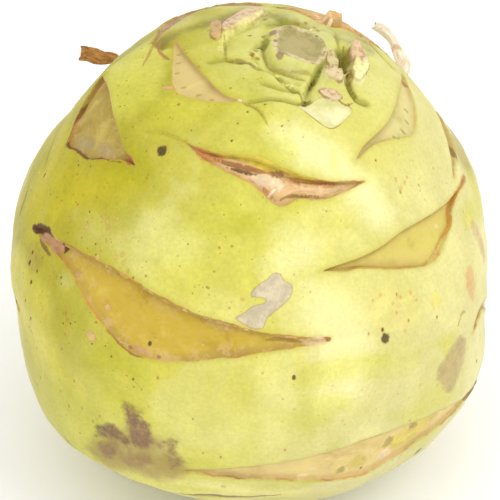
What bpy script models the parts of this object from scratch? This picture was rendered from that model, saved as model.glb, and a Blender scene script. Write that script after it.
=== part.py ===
"""A kohlrabi: the swollen stem of a cabbage plant, with the stalks of its leaves broken or cut away.

The corm is one body. It stands on the cut face of its root, in the middle of its underside, and its
crown leans a little to the right (+X). A leaf grew every golden angle round the stem, and each has left
a wide scar whose upper side is overhung by the skin above it. Two dry leaf stalks still stand at the
back, each a piece of its own in a small pit.

Lengths here are millimetres, turned to metres where a mesh is made. Places on the corm are given as
seen from its centre: longitude from the front (-Y) towards the right, and latitude from its girth up.
"""

import bmesh
import bpy
import numpy as np
from mathutils import Vector
from mathutils.geometry import delaunay_2d_cdt
from mathutils.kdtree import KDTree

METRES = 0.001

# Driving dimensions
CENTRE_HEIGHT = 48.0
ROOT_ANGLE = 13.6
NECK_ANGLE = 16.0
PROFILE = (  # latitude in degrees, distance from the centre
    (-90, 44.0), (-76, 46.6), (-60, 51.0), (-34, 53.2), (-10, 50.0), (12, 48.4), (36, 46.8), (58, 50.2),
    (90, 51.5),
)
SWELLS = (  # longitude, latitude, height, spread in degrees
    (60, -12, 1.5, 22), (-60, -24, 0.3, 20), (105, 19, 0.8, 18), (150, 46, 0.5, 18),
    (-105, 17, 0.4, 16), (0, -52, -1.8, 22), (93, 3, -0.7, 15), (73, -24, 1.2, 14),
    (43, -43, 0.4, 14), (-38, -47, -1.4, 15), (-126, 37, -1.3, 12), (-160, 53, 1.2, 16),
    (-94, -6, -0.5, 12), (84, -9, -1.3, 9),
)
UNDULATION = 0.35
UNDULATION_WAVES = 14
SEED = 7

# The crown's map: degrees from the crown's centre, x to the right and y to the back
CROWN_LONGITUDE = 90.0
CROWN_LATITUDE = 78.0

# Leaf scars that the picture shows: both edges run from the left tip to the right tip
SCARS = {
    "front": dict(
        upper=((-74, 19), (-68, 22.5), (-60, 24.2), (-38, 26.6), (-15, 22.5), (5, 18.5), (19, 15.2)),
        lower=((-74, 19), (-56, 21), (-42, 15.5), (-31, 9.5), (-25, 8.4), (-14, 10.5), (0, 13.3), (19, 15.2)),
        lip=0.9, recess=0.5),
    "right": dict(
        upper=((19.6, 31.3), (28, 32.2), (38, 32.5), (48, 33.2), (57, 32.2), (68, 30.1), (80, 27.6),
               (87.6, 25.3)),
        lower=((19.6, 31.3), (26.4, 29.8), (32.5, 29.2), (41.2, 25.9), (50.7, 22.3), (56.6, 21.6),
               (65.8, 24.1), (71, 26.1), (79.8, 26.5), (87.6, 25.3)),
        lip=1.1, recess=0.6),
    "low_front": dict(
        upper=((-16.5, -21.8), (-7, -19.2), (2.3, -17.5), (12, -16.2), (28, -14.4), (48, -16.5), (69, -22)),
        lower=((-16.5, -21.8), (-9.5, -22.4), (0, -23.8), (7.2, -24.4), (14, -26.1), (23, -28), (29, -28.6),
               (40, -25.5), (57, -23.4), (69, -22)),
        lip=0.8, recess=0.5),
    "husked": dict(
        upper=((-30, 59.8), (-16, 59.3), (2, 58.6), (13.4, 55.8), (26, 51.9), (43, 47.5)),
        lower=((-30, 59.8), (-18, 56.9), (-8.7, 55.2), (2, 52.1), (7.5, 48.6), (11.6, 47.5), (16.8, 48.8),
               (24.6, 47.3), (32.5, 47.2), (43, 47.5)),
        lip=0.9, recess=0.6, husk=1.0),
    "left": dict(
        upper=((-103, 53.5), (-84, 57.6), (-68, 56.6), (-56, 54.2), (-50, 52.3), (-45, 50.4)),
        lower=((-103, 53.5), (-97.5, 49), (-90.5, 44), (-85.5, 41.3), (-81.9, 39.4), (-75.9, 42), (-69.6, 43),
               (-61.9, 46.5), (-52.3, 50), (-45, 50.4)),
        lip=1.9, recess=0.7),
    "crown_left": dict(
        on_crown=True,
        upper=((-28.4, 4.5), (-25.5, -3.1), (-21.5, -10.6), (-17.7, -15.8), (-13.8, -18.3)),
        lower=((-28.4, 4.5), (-29, -2.2), (-29, -9), (-28.7, -12), (-27.6, -14.3), (-24, -16.4), (-18, -18.7),
               (-13.8, -18.3)),
        lip=0.3, recess=0.25),
    "crown_right": dict(
        on_crown=True,
        upper=((14.4, -27), (15.6, -22.5), (18, -18.6), (20.9, -13.4), (22.8, -7), (23.8, -1.5),
               (25.4, 6.6), (27.2, 13)),
        lower=((14.4, -27), (19.3, -19.9), (25.7, -14.4), (29.2, -11.2), (30.4, -8.6), (30.6, -4.4),
               (29.2, 3), (27.2, 13)),
        lip=0.5, recess=0.4),
    "crown_back": dict(
        on_crown=True,
        upper=((24, 20), (19, 17), (15.4, 15.6), (13, 14), (9.4, 14.4), (6.9, 12.8), (4.8, 13.3), (2.3, 14.3),
               (-0.5, 16.5), (-6, 20)),
        lower=((24, 20), (16.2, 19), (12, 20), (7, 20.6), (2, 20.4), (-6, 20)),
        lip=0.3, recess=0.2, husk=0.9),
    "back_right": dict(
        fine=False,
        upper=((80, 30.2), (88.6, 33), (96, 35.6), (104, 37.4), (125, 42), (150, 43), (170, 40), (188, 34)),
        lower=((80, 30.2), (90, 29.4), (100, 30.6), (118, 29), (140, 25.5), (150, 26), (165, 30), (188, 34)),
        lip=1.0, recess=0.7),
    "low_right": dict(
        fine=False,
        upper=((62.5, -3.2), (66, -0.8), (71, -0.4), (76, -3), (84, -7), (95, -9), (115, -8), (140, -8),
               (158, -12)),
        lower=((62.5, -3.2), (69.5, -2.6), (74, -5), (82, -10.5), (95, -16), (115, -18), (140, -15),
               (158, -12)),
        lip=0.7, recess=0.8),
    "crown_far": dict(
        on_crown=True,
        upper=((-8, 21), (-13, 20), (-20, 21.5), (-26, 18.6), (-30, 13), (-33.5, 7)),
        lower=((-8, 21), (-14, 28), (-24, 31), (-31, 24.5), (-33.3, 15), (-33.5, 7)),
        lip=0.4, recess=0.3),
}
# Leaf scars on the sides hidden from the picture: longitude, latitude, half width, rise and dip, in degrees
HIDDEN_SCARS = (
    (-165, 17, 38, 6.0, 8.0), (-112, -5, 40, 5.0, 8.0), (162, -22, 40, 5.0, 7.0),
    (-52, -35, 44, 3.5, 5.0), (82, -40, 36, 3.5, 4.5), (-145, -41, 36, 3.5, 5.0), (-2, -50, 36, 3.0, 4.0),
    (135, -54, 38, 3.0, 4.0), (-90, -56, 38, 3.0, 4.0),
)
HIDDEN_LIP = 1.2
HIDDEN_RECESS = 0.7

# The cut end of the stem on the crown, its leaf-stalk stubs and the folds round them, on the crown's map
CROWN_HOLLOW = (1.2, 9.5)
STEM_END = ((-7, -2.2), (-6.6, 1.2), (-6.8, 3.8), (-4.2, 5.5), (-1.5, 5.2), (1.2, 4.6), (3.4, 3.2),
            (4.5, 0.4), (4.2, -3), (2.9, -6.2), (1.2, -6.6), (-1.6, -6), (-4.1, -5.1), (-6.4, -4.6))
STEM_END_HEIGHT = 1.9
STEM_SLOPE = 2.2
STUBS = (  # outline, height above the crown there
    (((10.7, -1), (10.8, 4.9), (12, 7.2), (12.9, 3.6), (13.9, 1.5), (12.4, -1)), 1.8),
    (((10.4, -1.6), (12.3, -1.3), (14, 0.9), (14.8, -0.9), (12.8, -6.2), (11.8, -6.9), (10.8, -5.4)), 1.4),
    (((4.7, -2.6), (6.4, -0.9), (7.7, -2.4), (6.9, -4.5), (5, -4.7)), 1.3),
    (((4.2, -6.9), (6.2, -5.4), (8, -4.8), (8.8, -6.7), (8, -9), (6.3, -8.4)), 1.1),
    (((3.5, -13), (5.5, -12), (8, -12.4), (8.8, -13.4), (7.1, -14.7), (4.4, -14.2)), 0.8),
    (((-17.9, 8.4), (-16.4, 11), (-13.9, 14.6), (-11.7, 16), (-9, 16.1), (-9.2, 12.8), (-11.9, 9.5),
      (-14.1, 7.5), (-16.3, 5.7), (-17.9, 4.9)), 0.7),
    (((-20.6, 5.5), (-20.4, 9.4), (-19.4, 11), (-18.3, 9), (-18.2, 4.4), (-18.9, 1.5), (-20.3, 2.4)), 0.5),
    (((5.6, 15), (6.2, 17.6), (8.4, 17.4), (8.8, 15.4), (7, 14.2)), 1.8),
)
CREASES = (  # line, width, depth, and how far its left side stands up beside it
    (((8.6, 5.5), (9.2, 2.8), (9.5, -0.5), (9.4, -3), (9.5, -5)), 1.3, 2.3, 0),
    (((7.6, 12), (7.9, 9.3), (8.1, 5.9), (8.7, 3.2)), 0.5, 0.7, 0),
    (((9.8, -4.4), (10.7, -8.2), (12, -10.7), (13.6, -11.5), (17, -10.8)), 0.7, 1.3, 0.5),
    (((5.4, -1.4), (4.8, -3.6), (3.2, -6.4), (2.4, -9.4), (1.4, -12.2), (0.9, -15.4)), 0.65, 1.6, 0),
    (((-14, -18.3), (-10.5, -17.9), (-7.4, -17.1), (-4.1, -16.9), (-0.8, -17.1), (1.4, -16.2), (3.4, -14)),
     0.7, 1.0, -0.6),
    (((-12.8, -6.9), (-10.7, -7.8), (-8.8, -7.8), (-6.8, -8.9), (-4.4, -11.5), (-2.1, -13.1), (0.6, -14.4)),
     0.7, 1.2, -0.5),
    (((-9.9, -12), (-7.5, -13.2), (-4.3, -13.7), (-1, -13.9)), 0.6, 0.7, 0.3),
    (((-22.6, -6.4), (-20, -5.6), (-17.4, -5.2), (-15.4, -6), (-13, -6.6), (-12, -7.2)), 0.8, 0.8, 0.2),
    (((-9, 12.4), (-11.9, 8.8), (-14.5, 6.2), (-16.7, 3.2), (-17.6, 0.2), (-17.7, -4.2)), 0.6, 0.9, -0.9),
    (((-12.2, -1.6), (-11.1, -4.5), (-9.7, -6.9)), 0.6, 0.7, 0.2),
    (((-9.1, 3.6), (-9.1, -0.2), (-8.8, -3.4), (-7.9, -6.4), (-5.6, -8), (-2.1, -9.3), (1.6, -10)),
     0.9, 0.9, 0),
    (((-12.4, -1.8), (-10.7, -0.4), (-9.4, 1.6)), 0.6, 0.5, 0),
    (((16.5, 16.5), (18.4, 13.4), (19.8, 11.2), (22, 9.6), (25, 8.4)), 0.6, 0.6, 0.3),
    (((-7.6, 9), (-4.5, 10.6), (-1.4, 10.8), (2.5, 9)), 0.8, 0.9, 0.3),
    (((-13.6, -18.6), (-11.1, -19.4), (-9.3, -20.8), (-8.2, -22.6)), 0.6, 0.5, 0.2),
    (((-6.4, -10.8), (-3.2, -11), (0.4, -11.8)), 0.6, 0.5, 0.2),
)
GAP = ((-0.4, -13.8), (2.2, -14.2), (1.5, -15.6), (0.5, -17))
GAP_DEPTH = 1.3
SLICE = ((-1.2, -17.7), (1.6, -16.5), (3.7, -14.6), (6, -14.6), (9.2, -14.2), (11.7, -15), (10.6, -17.6),
         (8, -21.1), (5.8, -21.6), (3.9, -20.8), (1.2, -19.4))
SLICE_DEPTH = 0.5

# The dry leaf stalks: the middle line from the root end to the torn tip, and the half width and half
# thickness there. Each stands in a pit of the corm, clear of its walls.
STALKS = {
    "stalk_left": dict(
        spine=((-27.3, 26.3, 76.8), (-27.8, 26.9, 77.3), (-29.1, 27.4, 77.4), (-30.8, 27.8, 77.1),
               (-33.3, 28.7, 77.4), (-35.6, 29.3, 77.4)),
        half_widths=(1.1, 1.2, 1.35, 1.7, 1.5, 1.55), half_thicknesses=(0.7, 0.6, 0.5, 0.5, 0.42, 0.36),
        flat_side=(-0.35, 0.35, 0.87), twist=18.0),
    "stalk_right": dict(
        spine=((31.5, 25.7, 74.5), (32.2, 26.2, 75.0), (32.1, 27.9, 75.6), (31.1, 29.5, 76.8),
               (30.2, 31.2, 78.2), (29.2, 32.6, 79.2), (27.8, 33.9, 80.1), (25.7, 35.0, 80.6)),
        half_widths=(1.0, 1.3, 1.25, 1.0, 0.95, 1.15, 0.8),
        half_thicknesses=(0.6, 0.55, 0.45, 0.4, 0.38, 0.36, 0.32),
        flat_side=(0.9, 0.2, 0.3), twist=-25.0),
}
STALK_RIDGES = 5
STALK_RIDGE_DEPTH = 0.1
STALK_SIDES = 14
STALK_STEP = 0.9
PIT_DEPTH = 1.7
PIT_CLEARANCE = 0.35

# The corm's mesh: how far apart its points lie
BODY_SPACING = 4.1
SCAR_SPACING = 2.1
HIDDEN_SPACING = 3.2
CROWN_SPACING = 1.5
CROWN_REACH = 21.0
WALL = 0.4
ROOT_POINTS = 40


def direction(longitude, latitude):
    """The unit vector from the corm's centre to a place on it."""
    lon, lat = np.broadcast_arrays(np.radians(longitude), np.radians(latitude))
    return np.stack([np.sin(lon) * np.cos(lat), -np.cos(lon) * np.cos(lat), np.sin(lat)], -1)


def spline_through(x, knots):
    """A natural cubic through the knots."""
    kx, ky = np.array(knots, float).T
    step = np.diff(kx)
    matrix = np.eye(len(kx))
    right = np.zeros(len(kx))
    for i in range(1, len(kx) - 1):
        matrix[i, i - 1:i + 2] = step[i - 1], 2 * (step[i - 1] + step[i]), step[i]
        right[i] = 6 * ((ky[i + 1] - ky[i]) / step[i] - (ky[i] - ky[i - 1]) / step[i - 1])
    bend = np.linalg.solve(matrix, right)
    i = np.clip(np.searchsorted(kx, x) - 1, 0, len(step) - 1)
    after, before, h = x - kx[i], kx[i + 1] - x, step[i]
    return ((bend[i] * before**3 + bend[i + 1] * after**3) / (6 * h)
            + (ky[i] / h - bend[i] * h / 6) * before + (ky[i + 1] / h - bend[i + 1] * h / 6) * after)


def body_radius(towards):
    """How far the plain body reaches, before scars and crown."""
    latitude = np.degrees(np.arcsin(np.clip(towards[:, 2], -1, 1)))
    radius = spline_through(latitude, PROFILE)
    for lon, lat, height, spread in SWELLS:
        off = np.degrees(np.arccos(np.clip(towards @ direction(lon, lat), -1, 1)))
        radius = radius + height * np.exp(-((off / spread) ** 2))
    waves = np.random.default_rng(SEED)
    for _ in range(UNDULATION_WAVES):
        wave = waves.normal(size=3)
        wave *= waves.uniform(4, 9) / np.linalg.norm(wave)
        radius = radius + UNDULATION / 3 * np.sin(towards @ wave + waves.uniform(0, 2 * np.pi))
    return radius


class Map:
    """A flat map of the corm round one place: x to the right, y towards the crown, in millimetres."""

    def __init__(self, centre, up):
        self.centre = centre / np.linalg.norm(centre)
        self.y = up - (up @ self.centre) * self.centre
        self.y /= np.linalg.norm(self.y)
        self.x = np.cross(self.y, self.centre)
        self.scale = float(body_radius(self.centre[None])[0])

    def flat(self, towards):
        angle = np.arccos(np.clip(towards @ self.centre, -1, 1))
        stretch = self.scale * angle / np.maximum(np.sin(angle), 1e-9)
        return np.stack([towards @ self.x, towards @ self.y], -1) * stretch[:, None]

    def round(self, flat):
        angle = np.hypot(*flat.T) / self.scale
        side = np.sin(angle) / np.maximum(angle * self.scale, 1e-9)
        return (np.cos(angle)[:, None] * self.centre
                + (flat[:, 0] * side)[:, None] * self.x + (flat[:, 1] * side)[:, None] * self.y)


CROWN = Map(direction(CROWN_LONGITUDE, CROWN_LATITUDE), np.array((0.0, 1.0, 0.0)))


def crown_places(places):
    """Places on the crown's map, in degrees, as millimetres on its flat map."""
    return np.radians(np.array(places, float)) * CROWN.scale


def smooth_line(points, closed=False, steps=5):
    """A curve through the points, as a polyline."""
    p = np.asarray(points, float)
    before = p[-1:] if closed else 2 * p[:1] - p[1:2]
    after = p[:2] if closed else 2 * p[-1:] - p[-2:-1]
    p = np.concatenate([before, p, after])
    t = (np.arange(steps) / steps)[:, None]
    out = []
    for a, b, c, d in zip(p, p[1:], p[2:], p[3:]):
        bend, twist = 2 * a - 5 * b + 4 * c - d, 3 * b - a - 3 * c + d
        out.append(0.5 * (2 * b + (c - a) * t + bend * t**2 + twist * t**3))
    return np.concatenate(out if closed else [*out, p[-2:-1]])


def measure(points, line, closed=False):
    """For each point: its distance to the line, the share of the line passed there, and its side (+1 left)."""
    ends = np.roll(line, -1, 0) if closed else line[1:]
    starts = line if closed else line[:-1]
    best = np.full(len(points), np.inf)
    share = np.zeros(len(points))
    side = np.ones(len(points))
    lengths = np.hypot(*(ends - starts).T)
    passed = np.concatenate([[0], np.cumsum(lengths)])
    for k, (a, b) in enumerate(zip(starts, ends)):
        along = b - a
        t = np.clip((points - a) @ along / (along @ along), 0, 1)
        off = points - a - t[:, None] * along
        distance = np.hypot(*off.T)
        turn = along[0] * off[:, 1] - along[1] * off[:, 0]
        nearer = distance < best - 1e-9
        best = np.where(nearer, distance, best)
        share = np.where(nearer, (passed[k] + t * lengths[k]) / passed[-1], share)
        side = np.where(nearer, np.where(turn >= -1e-9, 1, -1), side)
    return best, share, side


def inside(points, outline):
    """Which points lie within a closed outline."""
    found = np.zeros(len(points), bool)
    for (ax, ay), (bx, by) in zip(outline, np.roll(outline, -1, 0)):
        crosses = (ay > points[:, 1]) != (by > points[:, 1])
        with np.errstate(divide="ignore", invalid="ignore"):
            found ^= crosses & (points[:, 0] < (bx - ax) * (points[:, 1] - ay) / (by - ay) + ax)
    return found


def rise(x):
    """0 below 0, 1 above 1, and smooth between."""
    x = np.clip(x, 0, 1)
    return x * x * (3 - 2 * x)


class Scar:
    """One leaf scar: its map, its edges on it, and how it shapes the corm."""

    REACH = 62.0

    def __init__(self, upper, lower, lip, recess, husk=0.0, fine=True, on_crown=False):
        if on_crown:
            upper, lower = (CROWN.round(crown_places(edge)) for edge in (upper, lower))
        else:
            upper, lower = (direction(*np.array(edge, float).T) for edge in (upper, lower))
        self.map = Map(np.concatenate([upper, lower]).mean(0), CROWN.centre)
        self.upper = smooth_line(self.map.flat(upper))
        self.lower = smooth_line(self.map.flat(lower))
        self.lip, self.recess, self.husk = lip, recess, husk
        self.spacing = SCAR_SPACING if fine else HIDDEN_SPACING

    def near(self, towards):
        return towards @ self.map.centre > np.cos(np.radians(self.REACH))

    def relief(self, towards):
        """How far the surface stands up, and how far it is pushed down the map over the scar."""
        p = self.map.flat(towards)
        up, along, above = measure(p, self.upper)
        down, _, over = measure(p, self.lower)
        above, over = up * above, down * over
        fade = rise(np.minimum(along, 1 - along) * 6)
        edge = 1 - rise(-above / WALL)
        lip = self.lip * fade * edge * np.exp(-np.maximum(above, 0) / 8)
        lip *= 1 - 0.3 * np.exp(-np.maximum(above, 0) / 0.5)
        within = np.minimum(-above, over)
        recess = self.recess + 0.4 * self.lip * fade * np.exp(np.minimum(above, 0) / 3)
        recess *= rise(within / WALL)
        rim = np.where((above < 0) & (over < 0), 0.25 * np.exp(-down / 1.2), 0)
        push = 0.4 * self.lip * fade * edge * np.exp(-np.maximum(above, 0) / 1.6)
        if self.husk:
            rim = rim + self.husk_relief(along, above, over)
        return lip - recess + rim, push

    def husk_relief(self, along, above, over):
        """The torn husk left in the scar: two strands that run from tip to tip."""
        share = np.clip(over / np.maximum(over - above, 0.01), 0, 1)
        waver = 0.07 * np.sin(14 * along)
        strands = np.exp(-(((share - 0.2 - waver) / 0.14) ** 2))
        strands += np.exp(-(((share - 0.58 + waver) / 0.16) ** 2))
        within = rise(np.minimum(over, -above) / 0.6) * rise(np.minimum(along, 1 - along) * 8)
        return self.husk * strands * within

    def rows(self):
        """Points of the mesh along the scar's edges: the ledge, its foot, and the rim below."""
        for line, offset, keep_off in (
                (self.upper, 0, 0.6), (self.upper, -WALL, 0.3), (self.lower, 0, 0.35), (self.lower, WALL, 0.3),
                (self.upper, 0.55 * self.spacing, 0.9), (self.lower, 0.6 * self.spacing, 1.0),
                (self.upper, -0.6 * self.spacing, 1.0)):
            points = row(line, offset, self.spacing)
            if offset:
                other = self.upper if line is self.lower else self.lower
                from_other, _, side = measure(points, other)
                inner = (offset > 0) == (line is self.lower)
                signed = from_other * side * (-1 if line is self.lower else 1)
                points = points[(signed > 0.7 * abs(offset)) | (not inner)]
            yield self.map.round(points), keep_off
        if self.husk:
            low, high = (row(line, 0, length(line) / 30) for line in (self.lower, self.upper))
            for share in (0.08, 0.22, 0.4, 0.58, 0.8):
                yield self.map.round(low + share * (high - low)), 0.55


def length(line):
    """The length of a polyline."""
    return np.hypot(*np.diff(line, axis=0).T).sum()


def regular_scar(longitude, latitude, half_width, rise_by, dip_by):
    """A leaf scar of the usual form: its upper edge is a low arch, its lower edge a blunt point."""
    shares = np.linspace(-1, 1, 9)
    lons = longitude + half_width * shares
    uppers = latitude + rise_by * (1 - np.abs(shares) ** 1.8)
    lowers = latitude - dip_by * (1 - np.abs(shares)) ** 1.25
    edges = np.stack([lons, uppers], -1), np.stack([lons, lowers], -1)
    return Scar(*edges, HIDDEN_LIP, HIDDEN_RECESS, fine=False)


def row(line, offset, spacing, closed=False):
    """Points spaced out along a line and moved to its left by the offset."""
    if closed:
        line = np.concatenate([line, line[:1]])
    passed = np.concatenate([[0], np.cumsum(np.hypot(*np.diff(line, axis=0).T))])
    count = max(2, int(round(passed[-1] / spacing)))
    at = np.linspace(0, passed[-1], count + 1)[:-1 if closed else None]
    points = np.stack([np.interp(at, passed, line[:, k]) for k in (0, 1)], -1)
    ahead = np.stack([np.interp(at + 0.5, passed, line[:, k]) for k in (0, 1)], -1)
    behind = np.stack([np.interp(at - 0.5, passed, line[:, k]) for k in (0, 1)], -1)
    along = ahead - behind
    along /= np.hypot(*along.T)[:, None]
    return points + offset * np.stack([-along[:, 1], along[:, 0]], -1)


ALL_SCARS = [Scar(**spec) for spec in SCARS.values()] + [regular_scar(*spec) for spec in HIDDEN_SCARS]
STEM_LINE = smooth_line(crown_places(STEM_END), closed=True)
STUB_LINES = [(smooth_line(crown_places(outline), closed=True, steps=3), height) for outline, height in STUBS]
CREASE_LINES = [(smooth_line(crown_places(line)), *sizes) for line, *sizes in CREASES]
SLICE_LINE = smooth_line(crown_places(SLICE), closed=True, steps=3)
GAP_LINE = smooth_line(crown_places(GAP), closed=True, steps=3)


def signed_off(p, outline):
    """Distance to a closed outline, positive inside it."""
    off, _, _ = measure(p, outline, closed=True)
    return np.where(inside(p, outline), off, -off)


def crown_relief(p):
    """How far the crown stands up at places on its flat map."""
    depth, reach = CROWN_HOLLOW
    height = -depth * np.exp(-(p**2).sum(-1) / reach**2)
    off_stem = signed_off(p, STEM_LINE)
    clear = 1 - rise((off_stem + 1.2) / 1.2)
    for line, width, depth, stands in CREASE_LINES:
        off, along, side = measure(p, line)
        fade = clear * rise(np.minimum(along, 1 - along) * 5)
        height -= depth * fade * np.exp(-((off / width) ** 1.4))
        height += np.where(side > 0, stands * fade * (1 - np.exp(-off / 0.5)) * np.exp(-off / 3), 0)
    height -= GAP_DEPTH * rise((signed_off(p, GAP_LINE) + 0.4) / 0.8)
    for line, tall in STUB_LINES:
        height += tall * rise((signed_off(p, line) + 0.7) / 0.7)
    height -= SLICE_DEPTH * rise(signed_off(p, SLICE_LINE) / 0.6)
    height += STEM_END_HEIGHT * rise((off_stem + STEM_SLOPE) / STEM_SLOPE) ** 0.8
    return height - 0.4 * rise((off_stem - 0.6) / 1.2)


def crown_rows():
    """Points of the mesh along the outlines and creases of the crown."""
    turn = 1 if signed_off(row(STEM_LINE, 0.1, 2, True), STEM_LINE).mean() > 0 else -1
    for offset, keep_off in ((0, 0.5), (-STEM_SLOPE, 0.5), (0.6, 0.4), (1.8, 0.8)):
        yield row(STEM_LINE, offset * turn, CROWN_SPACING, True), keep_off
    for line, _ in STUB_LINES:
        turn = 1 if signed_off(row(line, 0.1, 1, True), line).mean() > 0 else -1
        for offset in (0, -0.7):
            yield row(line, offset * turn, 0.9 * CROWN_SPACING, True), 0.45
    turn = 1 if signed_off(row(SLICE_LINE, 0.1, 1, True), SLICE_LINE).mean() > 0 else -1
    for offset in (0, 0.7):
        yield row(SLICE_LINE, offset * turn, CROWN_SPACING, True), 0.45
    for line, width, *_ in CREASE_LINES:
        for offset in (0, -width, width):
            yield row(line, offset, CROWN_SPACING), 0.6


def surface(towards):
    """The corm's surface in each direction from its centre, in millimetres."""
    radius = body_radius(towards)
    push = np.zeros_like(towards)
    for scar in ALL_SCARS:
        near = scar.near(towards)
        height, slide = scar.relief(towards[near])
        radius[near] += height
        push[near] -= slide[:, None] * scar.map.y
    near = towards @ CROWN.centre > np.cos(np.radians(34))
    radius[near] += crown_relief(CROWN.flat(towards[near]))
    for pit in ALL_PITS:
        radius += pit.relief(towards)
    points = towards * radius[:, None] + push
    points[:, 2] += CENTRE_HEIGHT
    return cut_root(points, towards)


def root_share(towards):
    """0 on the root's flat end and 1 where its neck has become the corm."""
    from_axis = np.degrees(np.arccos(np.clip(-towards[:, 2], -1, 1)))
    return np.round(np.clip((from_axis - ROOT_ANGLE) / (NECK_ANGLE - ROOT_ANGLE), 0, 1), 4)


class Pit:
    """The hollow in the corm that a dry stalk stands in."""

    def __init__(self, spine, half_widths, **_):
        foot = np.array(spine[1]) - (0, 0, CENTRE_HEIGHT)
        self.map = Map(foot, CROWN.centre)
        self.radius = max(half_widths[:2]) + PIT_CLEARANCE

    def relief(self, towards):
        off = np.hypot(*self.map.flat(towards).T)
        facing = towards @ self.map.centre > 0
        return np.where(facing, -PIT_DEPTH * rise((self.radius + 0.6 - off) / 0.6), 0)

    def rows(self):
        turns = np.radians(np.linspace(0, 360, 14, endpoint=False))
        ring = np.stack([np.cos(turns), np.sin(turns)], -1)
        for radius in (self.radius + 0.6, self.radius, 0.5 * self.radius, self.radius + 1.8):
            yield self.map.round(radius * ring), 0.35


ALL_PITS = [Pit(**spec) for spec in STALKS.values()]


def cut_root(points, towards):
    """Stands the corm on the flat end of its cut root."""
    share = root_share(towards)
    neck = share < 1
    points[neck, 2] *= share[neck] ** 0.8
    return points


def corm_triangles():
    """Joins the corm's points on a flat map seen from the root: their directions, and the triangles."""
    towards, links = corm_points()
    flat = towards[:, :2] / (1 + towards[:, 2])[:, None]
    joined = delaunay_2d_cdt([Vector(p) for p in flat], links, [], 0, 1e-6)
    flat = np.array([tuple(p) for p in joined[0]])
    spread = (flat**2).sum(-1)
    towards = np.stack([2 * flat[:, 0], 2 * flat[:, 1], 1 - spread], -1) / (1 + spread)[:, None]
    return towards, joined[2]


def root_rows():
    """Rings round the root: its flat end's edge, its neck, and where it meets the corm."""
    for angle, count in ((ROOT_ANGLE, ROOT_POINTS), (0.5 * (ROOT_ANGLE + NECK_ANGLE), ROOT_POINTS),
                         (NECK_ANGLE, ROOT_POINTS), (NECK_ANGLE + 3.0, ROOT_POINTS)):
        turns = np.linspace(0, 360, count, endpoint=False)
        yield direction(turns, angle - 90.0), 0.8


def even_sphere(spacing):
    """Directions spread evenly over the corm, about so many millimetres apart."""
    count = int(4 * np.pi * CENTRE_HEIGHT**2 / (0.866 * spacing**2))
    k = np.arange(count) + 0.5
    z = 1 - 2 * k / count
    turn = k * np.pi * (3 - np.sqrt(5))
    flat = np.sqrt(1 - z * z)
    return np.stack([flat * np.cos(turn), flat * np.sin(turn), z], -1)


def corm_points():
    """Directions for the corm's points, its edges first, and links that hold its edges together."""
    kept = []
    links = []
    found = KDTree(60000)
    found.balance()

    def add(towards, keep_off, longest_link=0.0):
        from_axis = np.degrees(np.arccos(np.clip(-towards[:, 2], -1, 1)))
        fresh = []
        for way in towards[from_axis > ROOT_ANGLE - 0.01]:
            _, index, distance = found.find(way)
            if index is None or distance * CENTRE_HEIGHT > keep_off:
                fresh.append(way)
        for k, way in enumerate(fresh):
            if np.linalg.norm(way - fresh[k - 1]) * CENTRE_HEIGHT < longest_link:
                links.append((len(kept) + (-1 if k else len(fresh) - 1), len(kept)))
            found.insert(way, len(kept))
            kept.append(way)
        found.balance()

    for towards, keep_off in root_rows():
        add(towards, keep_off, 3.0)
    for pit in ALL_PITS:
        for towards, keep_off in pit.rows():
            add(towards, keep_off)
    for scar in ALL_SCARS:
        for towards, keep_off in scar.rows():
            add(towards, keep_off, 1.6 * scar.spacing)
    for points, keep_off in crown_rows():
        add(CROWN.round(points), keep_off, 1.6 * CROWN_SPACING)
    for spacing, reach in ((CROWN_SPACING, CROWN_REACH), (1.6 * CROWN_SPACING, 1.35 * CROWN_REACH)):
        towards = even_sphere(spacing)
        near = towards @ CROWN.centre > np.cos(reach / CROWN.scale)
        add(towards[near], 0.75 * spacing)
    add(even_sphere(BODY_SPACING), 0.62 * BODY_SPACING)
    return np.array(kept), links


def corm_mesh():
    """The corm, closed at the flat end of its root."""
    towards, triangles = corm_triangles()
    mesh = bmesh.new()
    verts = [mesh.verts.new(point) for point in surface(towards) * METRES]
    for face in triangles:
        mesh.faces.new([verts[i] for i in face])
    bmesh.ops.holes_fill(mesh, edges=[e for e in mesh.edges if e.is_boundary], sides=0)
    bmesh.ops.recalc_face_normals(mesh, faces=mesh.faces[:])
    return mesh


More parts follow.
